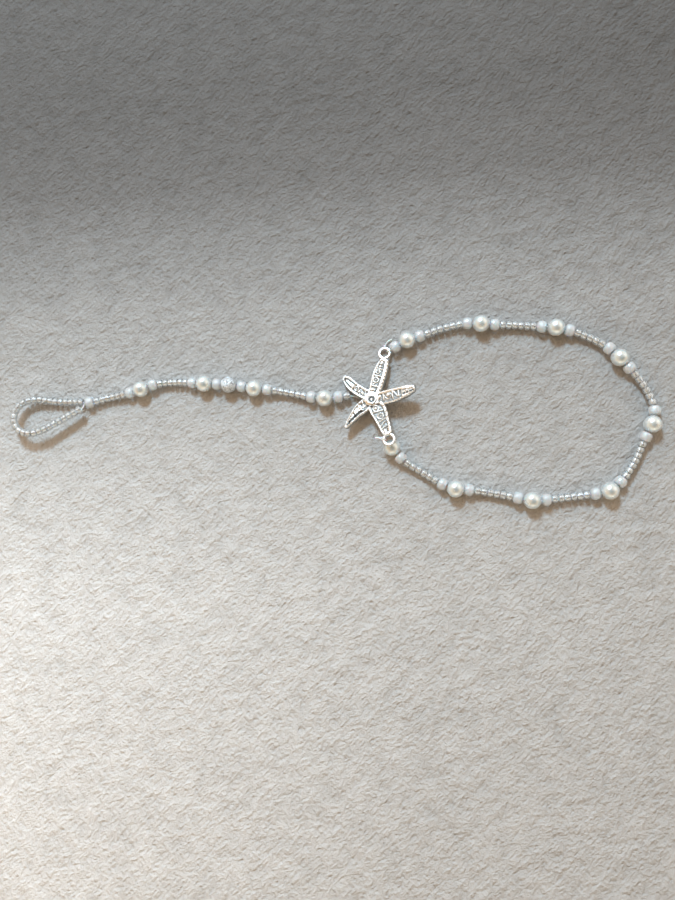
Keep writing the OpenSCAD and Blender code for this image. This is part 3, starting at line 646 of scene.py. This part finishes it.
def arm_outline(arm):
    """The arm's outline in its own coordinates, edges smoothed and scalloped, as a closed line of points."""
    ang, c0, c1, tip, sec = ARMS[arm]
    sec = np.array(sec, float)
    left = smooth_curve(sec[:, [0, 1]], 12)
    right = smooth_curve(sec[:, [0, 2]], 12)
    side, s0, s1, pitch, depth = SCALLOPS[arm]
    e = right if side == "right" else left
    sign = 1 if side == "right" else -1
    s = e[:, 0]
    fade = np.clip((s - s0) / 0.8, 0, 1) * np.clip((s1 - s) / 0.8, 0, 1)
    dense = np.linspace(e[0, 0], e[-1, 0], 260)
    val = np.interp(dense, e[:, 0], e[:, 1]) + sign * depth * np.interp(dense, s, fade) * (1 - np.abs(np.sin(math.pi * (dense - s0) / pitch))) ** 1.5
    e = np.stack([dense, val], 1)
    if side == "right":
        right = e
    else:
        left = e
    d, m, h = sec[-1, 0], (sec[-1, 1] + sec[-1, 2]) / 2, (sec[-1, 1] - sec[-1, 2]) / 2
    cap = np.array([[d + tip * math.cos(t), m + h * math.sin(t)] for t in np.radians(np.linspace(86, -86, 40))])
    return np.concatenate([left, cap, right[::-1]])


def signed_distance(px, py, line):
    """Distance to a closed line, above zero inside."""
    ax, ay = line[:, 0], line[:, 1]
    bx, by = np.roll(ax, -1), np.roll(ay, -1)
    dx, dy = bx - ax, by - ay
    ll = np.maximum(dx * dx + dy * dy, 1e-12)
    out = np.empty(len(px))
    for i in range(0, len(px), 4000):
        x, y = px[i:i + 4000, None], py[i:i + 4000, None]
        t = np.clip(((x - ax) * dx + (y - ay) * dy) / ll, 0, 1)
        q = np.sqrt(((x - ax - t * dx) ** 2 + (y - ay - t * dy) ** 2).min(1))
        cross = ((ay > y) != (by > y)) & (x < (bx - ax) * (y - ay) / np.where(by == ay, 1e-12, by - ay) + ax)
        out[i:i + 4000] = np.where(cross.sum(1) % 2 == 1, q, -q)
    return out


def step(x, a, b):
    t = np.clip((x - a) / (b - a), 0, 1)
    return t * t * (3 - 2 * t)


def star_height(X, Y):
    """Height of the casting's front, and the depth inside its outline, over the plan."""
    H = np.full(X.shape, -1.0)
    D = np.full(X.shape, -9.0)
    for arm, (ang, c0, c1, tip, sec) in ARMS.items():
        c, s_ = math.cos(math.radians(ang)), math.sin(math.radians(ang))
        S, T = X * c + Y * s_, -X * s_ + Y * c
        near = (S > -2.4) & (S < sec[-1][0] + tip + 0.6) & (np.abs(T) < 4.4)
        s, t = S[near], T[near]
        d = signed_distance(s, t, arm_outline(arm))
        sa_ = np.array(sec, float)
        L, R = np.interp(s, sa_[:, 0], sa_[:, 1]), np.interp(s, sa_[:, 0], sa_[:, 2])
        rl, rr = RIMS[arm]
        # round outer edge, then the plateau with a slight crown
        top = EDGE_W + (TOP_W - EDGE_W) * np.sqrt(np.clip(1 - (1 - np.clip(d / 0.42, 0, 1)) ** 2, 0, 1))
        if arm == "B":
            bevel = np.clip((t - R) / 1.1, 0, 1)
            top = np.minimum(top, 1.05 + 0.8 * np.sqrt(np.clip(1 - (1 - bevel) ** 2, 0, 1)) + 0.12 * np.cos((s - 5.2) * 2 * math.pi / 1.3) * (1 - bevel))
        inside = step(np.minimum(np.minimum(L - rl - t, t - R - rr), np.minimum(s - c0, c1 - s)), -0.12, 0.34)
        z = top - (TOP_W - FLOOR_W) * inside
        tex = 0.045 * np.sin(7.1 * s + 2.0 * t) * np.sin(6.3 * t - 1.7 * s) + 0.03 * np.sin(12.3 * s - 5 * t) * np.sin(10.7 * t + 3.1 * s)
        z = z + tex * inside
        if arm in "AE":
            flat = step(d, 0.62, 0.95) * step(s, c1 - 0.1, c1 + 0.5)
            z = z + flat * (1.5 * tex - 0.3)
        for w in WORK[arm]:
            if w[0] == "dome":
                _, x0, y0, ra, rb, rot, h = w
                cr, sr = math.cos(math.radians(rot)), math.sin(math.radians(rot))
                u, v_ = ((s - x0) * cr + (t - y0) * sr) / ra, (-(s - x0) * sr + (t - y0) * cr) / rb
                q = np.clip(1 - u * u - v_ * v_, 0, 1)
                z = np.where(q > 0, np.maximum(z, FLOOR_W + 0.78 * h * q ** 0.45), z)
            elif w[0] == "ring":
                _, x0, y0, r0, wd, h = w
                q = np.clip(1 - ((np.hypot(s - x0, t - y0) - r0) / wd) ** 2, 0, 1)
                z = np.where((q > 0) & (d > 0.3), np.maximum(z, FLOOR_W + 0.78 * h * q ** 0.5), z)
            elif w[0] in ("bar", "slot"):
                _, x0, y0, x1, y1, wd, h = w
                dx, dy = x1 - x0, y1 - y0
                k = np.clip(((s - x0) * dx + (t - y0) * dy) / (dx * dx + dy * dy), 0, 1)
                q = np.clip(1 - (np.hypot(s - x0 - k * dx, t - y0 - k * dy) / wd) ** 2, 0, 1)
                if w[0] == "bar":
                    z = np.where((q > 0) & (d > 0.3), np.maximum(z, FLOOR_W + 0.78 * h * q ** 0.5), z)
                else:
                    z = z - h * q ** 0.7 * (d > 0.2)
            elif w[0] == "pit":
                _, x0, y0, r0, h = w
                q = np.clip(1 - (np.hypot(s - x0, t - y0) / r0) ** 2, 0, 1)
                z = np.minimum(z, np.where(q > 0, TOP_W - h * q ** 0.6, 9))
        # only the arm's own side of the middle
        ok = d > -0.6
        hh, dd = H[near], D[near]
        z = np.where(s < 0.5, np.minimum(z, 1.5), z)
        better = ok & ((z > hh) | (hh < 0))
        # where two arms overlap, a channel of one must stay open under the plateau of the other's root
        hh = np.where(ok & (d > 0) & (dd > 0), np.where(s < 2.3, hh, np.where(inside > 0.5, np.minimum(hh, z + 0.02), np.maximum(hh, z))), np.where(better, z, hh))
        dd = np.maximum(dd, d)
        H[near], D[near] = hh, dd
    # the middle: a plateau, a raised ring with a groove in it and a dot
    r = np.hypot(X, Y)
    D = np.maximum(D, 3.3 - r)
    plate = step(2.75 - r, -0.1, 0.5)
    H = np.where(r < 2.9, np.maximum(H, FLOOR_W + (TOP_W - FLOOR_W) * plate), H)
    rc = np.hypot(X - 0.0, Y + 0.22)
    ring = np.clip(1 - ((rc - 1.5) / 0.52) ** 2, 0, 1) ** 0.5
    H = np.where(ring > 0, np.maximum(H, 1.6 + 0.4 * ring), H)
    groove = np.clip(1 - ((rc - 0.8) / 0.36) ** 2, 0, 1) ** 0.6
    H = H - 0.62 * groove
    dot = np.clip(1 - (rc / 0.42) ** 2, 0, 1) ** 0.5
    H = np.where(dot > 0, np.maximum(H, 1.5 + 0.36 * dot), H)
    low = np.clip(1 - ((X + 0.45) / 1.05) ** 2 - ((Y + 2.72) / 0.3) ** 2, 0, 1) ** 0.6
    H = H - 0.42 * low
    return H, D


def blur(a, n):
    k = np.exp(-0.5 * (np.arange(-3 * n, 3 * n + 1) / n) ** 2)
    k /= k.sum()
    a = np.apply_along_axis(lambda r: np.convolve(r, k, mode="same"), 0, a)
    return np.apply_along_axis(lambda r: np.convolve(r, k, mode="same"), 1, a)


def torus(at, R, axis_frame, wire, n=64, m=18, flat=1.0, bumps=0.0, power=2.0):
    a = np.arange(n) * 2 * math.pi / n
    b = np.arange(m) * 2 * math.pi / m
    cb, sb = (np.sign(q) * np.abs(q) ** (2 / power) for q in (np.cos(b), np.sin(b)))
    rings = []
    for t in a:
        wr = wire / 2 * (1 + bumps * math.sin(3 * t + 0.5))
        rings.append(np.stack([(R + wr * cb) * math.cos(t), (R + wr * cb) * math.sin(t), wr * flat * sb], 1))
    v, f = ring_mesh(rings)
    return v @ np.array(axis_frame, float).T + np.array(at), [tuple(reversed(q)) for q in f]


def build_star():
    g = 0.085
    xs, ys = np.arange(-14.6, 17.2, g), np.arange(-15.6, 16.6, g)
    X, Y = np.meshgrid(xs, ys)
    H, D = star_height(X.ravel(), Y.ravel())
    H, D = H.reshape(X.shape), D.reshape(X.shape)
    mask = D > -0.5 * g
    # castings have no crisp corners
    soft = blur(np.where(mask, H, 0), 1) / np.maximum(blur(mask.astype(float), 1), 0.05)
    H = np.where(D > 0.2, soft, H)
    Hb = np.where(mask, H, 0.3)
    w = blur(mask.astype(float), 5)
    cav = blur(np.where(mask, H, 0) * 1.0, 5) / np.maximum(w, 0.05) - Hb
    cavity = np.clip(0.5 * np.clip(cav / 0.22, -0.3, 1.2) + 0.72 * np.clip((1.62 - Hb) / 0.5, 0, 1) * (D > 0.35), 0, 1)
    gy, gx = np.gradient(D, g)
    gl = np.maximum(np.hypot(gx, gy), 1e-6)
    snap = np.abs(D) < 0.5 * g
    px = np.where(snap, X - D * gx / gl, X)
    py = np.where(snap, Y - D * gy / gl, Y)
    pz = np.where(snap, EDGE_W, H)
    keep = mask
    index = -np.ones(X.shape, int)
    index[keep] = np.arange(keep.sum())
    verts = np.stack([px[keep], py[keep], pz[keep]], 1)
    cav_v = cavity[keep]
    a, b, c, d = index[:-1, :-1], index[:-1, 1:], index[1:, 1:], index[1:, :-1]
    faces = []
    full = (a >= 0) & (b >= 0) & (c >= 0) & (d >= 0)
    for q in zip(a[full], b[full], c[full], d[full]):
        faces.append(q)
    for tri in ((a, b, c, d), (b, c, d, a), (c, d, a, b), (d, a, b, c)):
        three = (tri[0] >= 0) & (tri[1] >= 0) & (tri[2] >= 0) & (tri[3] < 0)
        faces += list(zip(tri[0][three], tri[1][three], tri[2][three]))
    # walk the open edges into border loops; every loop of three points or more gets a wall
    edges = {}
    for f in faces:
        for i in range(len(f)):
            e = (f[i], f[(i + 1) % len(f)])
            edges[e] = edges.get(e, 0) + 1
    border = {e[0]: e[1] for e in edges if (e[1], e[0]) not in edges}
    loops, seen = [], set()
    for s0 in border:
        if s0 in seen:
            continue
        lp, q = [], s0
        while q not in seen and q in border:
            seen.add(q)
            lp.append(q)
            q = border[q]
        loops.append(lp)
    n0 = len(verts)
    extra, ecav = [], []
    for lp in loops:
        if len(lp) < 3:
            continue
        base = n0 + len(extra)
        ring = verts[lp]
        k = len(lp)
        nxt, prv = np.roll(ring, -1, 0), np.roll(ring, 1, 0)
        tan = nxt - prv
        nrm = np.stack([tan[:, 1], -tan[:, 0]], 1)
        nrm /= np.maximum(np.linalg.norm(nrm, axis=1), 1e-9)[:, None]
        for z, inset in ((0.3, 0.0), (0.1, 0.02), (0.0, 0.12)):
            for i in range(k):
                extra.append([ring[i, 0] - nrm[i, 0] * inset, ring[i, 1] - nrm[i, 1] * inset, z])
                ecav.append(0.35)
        for lvl in range(3):
            for i in range(k):
                j = (i + 1) % k
                up_i = lp[i] if lvl == 0 else base + (lvl - 1) * k + i
                up_j = lp[j] if lvl == 0 else base + (lvl - 1) * k + j
                faces.append((up_j, up_i, base + lvl * k + i, base + lvl * k + j))
        faces.append(tuple(base + 2 * k + i for i in reversed(range(k))))
    v = np.concatenate([verts, np.array(extra).reshape(-1, 3)])
    cv = np.concatenate([cav_v, np.array(ecav)])
    # arm C is bent up out of the casting's plane
    ang = math.radians(ARMS["C"][0])
    s_c, t_c = v[:, 0] * math.cos(ang) + v[:, 1] * math.sin(ang), -v[:, 0] * math.sin(ang) + v[:, 1] * math.cos(ang)
    mine = step(2.65 - t_c, 0.0, 0.45) * step(t_c + 3.5, 0.0, 0.3)
    run = np.maximum(s_c - BEND_AT, 0)
    run = np.where(run < 1.2, run * run / 2.4, run - 0.6) + 0.3 * np.clip(run / 1.2, 0, 1)
    turn = mine * (run > 0)
    dz = run * math.tan(BEND) * turn
    dx = -(v[:, 2] - 0.9) * math.sin(BEND) * np.clip(run / 1.2, 0, 1) * turn - run * (1 - math.cos(BEND)) * turn
    v = v + np.stack([dx * math.cos(ang), dx * math.sin(ang), dz], 1)
    # eyelets with their necks, and the loop behind for the toe strand
    def add(nv, nf, c0):
        nonlocal v, cv, faces
        o = len(v)
        v = np.concatenate([v, nv])
        cv = np.concatenate([cv, np.asarray(c0, float) if np.ndim(c0) else np.full(len(nv), c0)])
        faces += [tuple(int(i) + o for i in q) for q in nf]
    for e in (EYE_UP, EYE_LOW):
        tv, tf = torus((e[0], e[1], EYE_W), EYE_R, np.eye(3), EYE_WIRE, 72, 24, 0.96, 0.02, 3.2)
        add(tv, tf, 0.12)
        u = np.array(e) / np.linalg.norm(e)
        w_ = np.array([-u[1], u[0]])
        L = np.linalg.norm(e) - EYE_R
        rings = []
        for q, hw, hh in ((-2.0, 1.0, 0.5), (-1.2, 0.95, 0.5), (-0.5, 0.85, 0.48), (0.0, 0.95, 0.44), (0.25, 0.9, 0.3)):
            cen = u * (L + q)
            b = np.arange(20) * 2 * math.pi / 20
            rings.append(np.stack([cen[0] + w_[0] * hw * np.cos(b), cen[1] + w_[1] * hw * np.cos(b), EYE_W + hh * np.sin(b)], 1))
        nv, nf = ring_mesh(rings, closed=False)
        nf = nf + [tuple(reversed(range(20))), tuple(range(80, 100))]
        add(nv, nf, 0.2)
    tv, tf = torus((-3.6, 0.8, -0.55), 0.85, [[0, 0, 1], [0, 1, 0], [-1, 0, 0]], 0.8, 40, 14)
    add(tv, tf, 0.4)
    world = v @ STAR_R.T + STAR_AT
    return new_piece("starfish_casting", world, faces, [ANTIQUE], ["starfish"], sharp=70, attrs={"cavity": cv})


star = build_star()


# ---------------------------------------------------------------- clear elastic
def tube(points, d, sides=12, seg=0.35):
    """A round tube on a smooth line through the points."""
    c = smooth_curve(points, 6)
    dirs = np.gradient(c, axis=0)
    dirs /= np.linalg.norm(dirs, axis=1)[:, None]
    n = np.cross(dirs[0], [0.1, 0.2, 1.0])
    n /= np.linalg.norm(n)
    a = np.arange(sides) * 2 * math.pi / sides
    rings = []
    for p, t in zip(c, dirs):
        n = n - (n @ t) * t
        n /= np.linalg.norm(n)
        b = np.cross(t, n)
        rings.append(p + d / 2 * (np.cos(a)[:, None] * n + np.sin(a)[:, None] * b))
    v, f = ring_mesh(rings, closed=False)
    f = [tuple(reversed(q)) for q in f]
    m = len(rings)
    f = [tuple(reversed(q)) for q in f] + [tuple(reversed(range(sides))), tuple((m - 1) * sides + k for k in range(sides))]
    return v, f


def knot(at, r, axis):
    """A small overhand knot: a trefoil line drawn tight."""
    f = frame_of(axis)
    t = np.linspace(0, 2 * math.pi, 40)
    q = np.stack([0.34 * np.sin(3 * t), (np.sin(t) + 2 * np.sin(2 * t)) / 3, (np.cos(t) - 2 * np.cos(2 * t)) / 3], 1) * r
    return q @ f.T + np.array(at)


def thread_piece(name, tubes, nodes):
    vs, fs, base = [], [], 0
    for v, f in tubes:
        vs.append(v)
        fs += [tuple(int(i) + base for i in q) for q in f]
        base += len(v)
    return new_piece(name, np.concatenate(vs), fs, [ELASTIC], nodes)


def hitch(e, turn):
    t = math.radians(turn)
    at = np.array([e[0] + EYE_R * math.cos(t), e[1] + EYE_R * math.sin(t), EYE_W])
    ax = np.array([[math.cos(t), 0, -math.sin(t)], [math.sin(t), 0, math.cos(t)], [0, -1, 0]])
    v, f = torus(at, EYE_WIRE / 2 + THREAD_D / 2 + 0.03, ax, THREAD_D, 36, 12)
    return v @ STAR_R.T + STAR_AT, f


EYE_KNOT = np.array([[0.1, 0, 0.1], [-0.6, 0.15, 0.2], [-1.3, 0.2, 0.3], [-1.9, 0.1, 0.3]])
EYE_KNOT = (EYE_KNOT + [EYE_LOW[0] - 2.84, EYE_LOW[1] + 0.5, EYE_W]) @ STAR_R.T + STAR_AT
UP_END = [[26.95, 22.45, 1.7], [27.05, 22.52, 1.9]]
LOW_END = [[25, -9, 3], [24.5, -8.4, 3.4], [24.2, -8.4, 4.1], [24.2, -9, 4.7], [24.4, -9.5, 5.1]]
TAIL = [[26.1, 22.1, 0.85], [25.4, 22.5, 0.6], [24.9, 23.3, 0.42], [24.8, 24.2, 0.6], [25.3, 25.2, 0.75], [26.2, 26.1, 0.75], [27.2, 26.6, 0.6]]
TOE_START = [[18.35, 5.6, 1.3], [16.9, 5.85, 1.38], [15.2, 6.2, 1.4], [13.5, 6.6, 1.7]]
TOE_CLOSE = [[-86.15, 4.45, 3.95], [-85.85, 4.95, 3.7], [-86, 5.6, 3.1], [-86.3, 6.05, 2.4], [-86.2, 6.32, 2.12], [-85.8, 6.42, 2.05], [-85.1, 6.55, 2.02]]
TOE_OUT = [[-86.08, 6.58, 2.57], [-86.5, 6.79, 2.32]]

thread_piece("ankle_elastic", [
    tube([*UP_END, *thread_line(A_B), *LOW_END], THREAD_D),
    tube(TAIL, THREAD_D),
    tube(knot(TAIL[3], 0.42, [0.4, 1, 0.1]), 0.3, 10),
    tube(knot(LOW_END[2], 0.5, [0.2, 1, 0.6]), 0.32, 10),
    tube(knot(EYE_KNOT[0], 0.46, [0.2, 1, 0.2]), 0.46, 10),
    tube(EYE_KNOT, 0.58),
    hitch(EYE_UP, 23.5), hitch(EYE_LOW, 180)], ["ankle_thread"])

strand_pts = thread_line(S_B)
strand_line = [p + np.array([0, 0, 0.24 if i == len(strand_pts) - 1 else 0]) for i, p in enumerate(strand_pts)]
thread_piece("toe_elastic", [
    tube([*TOE_START, *strand_line, *TOE_OUT, *[b["p"] for b in T_B], *TOE_CLOSE], THREAD_D),
    tube(knot(TOE_START[0], 0.56, [1, 0.1, 0.1]), 0.36, 10)], ["toe_thread"])

# ---------------------------------------------------------------- floor, light, camera
def build_floor():
    m, nt, p = material("pale_floor")
    c = obj_coord(nt)
    # short fleece: soft ridges that lie one way, with small pits between them
    mp = nt.nodes.new("ShaderNodeMapping")
    mp.vector_type = "TEXTURE"
    mp.inputs["Rotation"].default_value = (0, 0, math.radians(47))
    mp.inputs["Scale"].default_value = (1.3, 1.0, 1.0)
    nt.links.new(c, mp.inputs["Vector"])
    ridges = noise(nt, mp.outputs["Vector"], 900, 4, 0.63)
    tufts = noise(nt, mp.outputs["Vector"], 270, 2, 0.5)
    folds = noise(nt, c, 95, 2, 0.5)
    pits = remap(nt, noise(nt, mp.outputs["Vector"], 610, 1, 0.4), 0.22, 0.40, 0.0, 1.0)
    height = math_node(nt, "ADD", math_node(nt, "MULTIPLY", ridges, 0.55), math_node(nt, "MULTIPLY", tufts, 0.65))
    height = math_node(nt, "ADD", height, math_node(nt, "MULTIPLY", pits, 0.12))
    # the colour follows the fleece's height, darker where it lies lower: painted shade in its troughs and pits, with
    # slow random tone from the folds noise
    tone = math_node(nt, "ADD", math_node(nt, "MULTIPLY", height, 0.55), math_node(nt, "MULTIPLY", folds, 0.35))
    col = ramp(nt, tone, [(0.38, (0.42, 0.407, 0.385)), (0.56, (0.50, 0.484, 0.459)), (0.70, (0.545, 0.529, 0.503)), (0.84, (0.58, 0.564, 0.538))])
    # painted shade darkens the cloth's colour towards its far side, and painted light makes it a little paler at the
    # near left
    xyz = nt.nodes.new("ShaderNodeSeparateXYZ")
    nt.links.new(c, xyz.inputs[0])
    far = ramp(nt, remap(nt, xyz.outputs["Y"], -0.20, 0.20, 0.0, 1.0), [
        (0.0, (1.15,) * 3), (0.35, (1.14,) * 3), (0.44, (1.02,) * 3), (0.52, (0.91,) * 3), (0.60, (0.79,) * 3), (0.65, (0.62,) * 3), (0.72, (0.40, 0.39, 0.385)), (0.80, (0.32, 0.31, 0.305))])
    # painted light at the near left, and a little painted shade towards the right
    side = math_node(nt, "MULTIPLY", remap(nt, xyz.outputs["X"], -0.13, 0.04, 0.56, 0.0), remap(nt, xyz.outputs["Y"], -0.07, 0.05, 1.0, 0.0))
    side = math_node(nt, "ADD", side, remap(nt, xyz.outputs["X"], 0.05, 0.13, 0.0, -0.10))
    lit = nt.nodes.new("ShaderNodeVectorMath")
    lit.operation = "MULTIPLY"
    nt.links.new(col, lit.inputs[0])
    nt.links.new(far, lit.inputs[1])
    more = nt.nodes.new("ShaderNodeVectorMath")
    more.operation = "SCALE"
    nt.links.new(lit.outputs["Vector"], more.inputs[0])
    nt.links.new(math_node(nt, "ADD", side, 1.0), more.inputs["Scale"])
    nt.links.new(more.outputs["Vector"], p.inputs["Base Color"])
    p.inputs["Roughness"].default_value = 0.95
    p.inputs["Specular IOR Level"].default_value = 0.1
    nt.links.new(bump(nt, height, 1.0, 0.0025), p.inputs["Normal"])
    me = bpy.data.meshes.new("floor")
    n_ = 64
    vs = [(1.3 * math.cos(2 * math.pi * i / n_), 1.3 * math.sin(2 * math.pi * i / n_), 0) for i in range(n_)]
    me.from_pydata(vs, [], [tuple(range(n_))])
    me.materials.append(m)
    ob = bpy.data.objects.new("floor", me)
    bpy.context.scene.collection.objects.link(ob)
    ob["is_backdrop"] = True


build_floor()


def area(name, at, to, size, size_y, power, color):
    l = bpy.data.lights.new(name, "AREA")
    l.shape = "RECTANGLE"
    l.size, l.size_y, l.energy, l.color = size, size_y, power, color
    o = bpy.data.objects.new(name, l)
    bpy.context.scene.collection.objects.link(o)
    o.location = at
    o.rotation_mode = "QUATERNION"
    o.rotation_quaternion = (Vector(to) - Vector(at)).to_track_quat("-Z", "Y")
    return o


area("key", (-0.125, 0.664, 0.737), (0, 0, 0), 0.17, 0.17, 10.8, (0.52, 0.78, 1.0))

world = bpy.data.worlds.new("studio")
bpy.context.scene.world = world
world.use_nodes = True
wt = world.node_tree
for n in list(wt.nodes):
    wt.nodes.remove(n)
wout = wt.nodes.new("ShaderNodeOutputWorld")
bg = wt.nodes.new("ShaderNodeBackground")
wt.links.new(bg.outputs[0], wout.inputs["Surface"])
tc = wt.nodes.new("ShaderNodeTexCoord")


def world_dot(direction):
    d = wt.nodes.new("ShaderNodeVectorMath")
    d.operation = "DOT_PRODUCT"
    d.inputs[1].default_value = direction
    wt.links.new(tc.outputs["Generated"], d.inputs[0])
    return d.outputs["Value"]


def world_mix(op, a, b):
    m = wt.nodes.new("ShaderNodeVectorMath")
    m.operation = op
    wt.links.new(a, m.inputs[0])
    wt.links.new(b, m.inputs[1])
    return m.outputs["Vector"]


# a warm room, paler near the horizon and dim straight overhead, with pale daylight on the far side
room = ramp(wt, world_dot((0, 0, 1)), [(0.0, (1.8, 1.66, 1.42)), (0.3, (1.6, 1.27, 0.92)), (0.55, (1.43, 0.90, 0.475)), (0.8, (1.15, 0.685, 0.32)), (1.0, (0.99, 0.58, 0.27))])
over = ramp(wt, world_dot((0.23, -0.33, 0.916)), [(0.0, (1, 1, 1)), (0.74, (1, 1, 1)), (0.90, (0.38, 0.46, 0.54)), (1.0, (0.22, 0.28, 0.36))])
sky = ramp(wt, world_dot((-0.15, 0.82, 0.55)), [(0.72, (0, 0, 0)), (0.92, (0.40, 0.46, 0.52)), (1.0, (0.8, 0.9, 1.0))])
wall = ramp(wt, world_dot((-0.43, 0.47, 0.77)), [(0.88, (0, 0, 0)), (0.97, (1.2, 1.35, 1.5)), (1.0, (1.5, 1.7, 1.9))])
pane = ramp(wt, world_dot((0.74, 0.35, 0.57)), [(0.86, (0, 0, 0)), (0.95, (0.9, 1.0, 1.05)), (1.0, (1.1, 1.2, 1.3))])
front = ramp(wt, world_dot((0.08, -0.996, 0.03)), [(0.80, (0, 0, 0)), (0.93, (0.8, 0.8, 0.75)), (1.0, (1.4, 1.4, 1.3))])
light = world_mix("ADD", world_mix("MULTIPLY", room, over), world_mix("ADD", sky, world_mix("ADD", wall, world_mix("ADD", pane, front))))
wt.links.new(light, bg.inputs["Color"])
bg.inputs["Strength"].default_value = 0.58

cam = bpy.data.cameras.new("camera")
cam_ob = bpy.data.objects.new("camera", cam)
bpy.context.scene.collection.objects.link(cam_ob)
cam.sensor_fit = "VERTICAL"
cam.sensor_height = 36
cam.lens = 29.2
cam.clip_start, cam.clip_end = 0.01, 20
cam_ob.matrix_world = Matrix((
    (0.98832, 0.01517, 0.15168, 0.046597),
    (0.0, 0.99505, -0.09950, -0.037381),
    (-0.15243, 0.09834, 0.98342, 0.251076),
    (0, 0, 0, 1)))
bpy.context.scene.camera = cam_ob
bpy.context.scene.view_settings.view_transform = "Standard"
bpy.context.scene.view_settings.look = "None"

lo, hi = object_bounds()
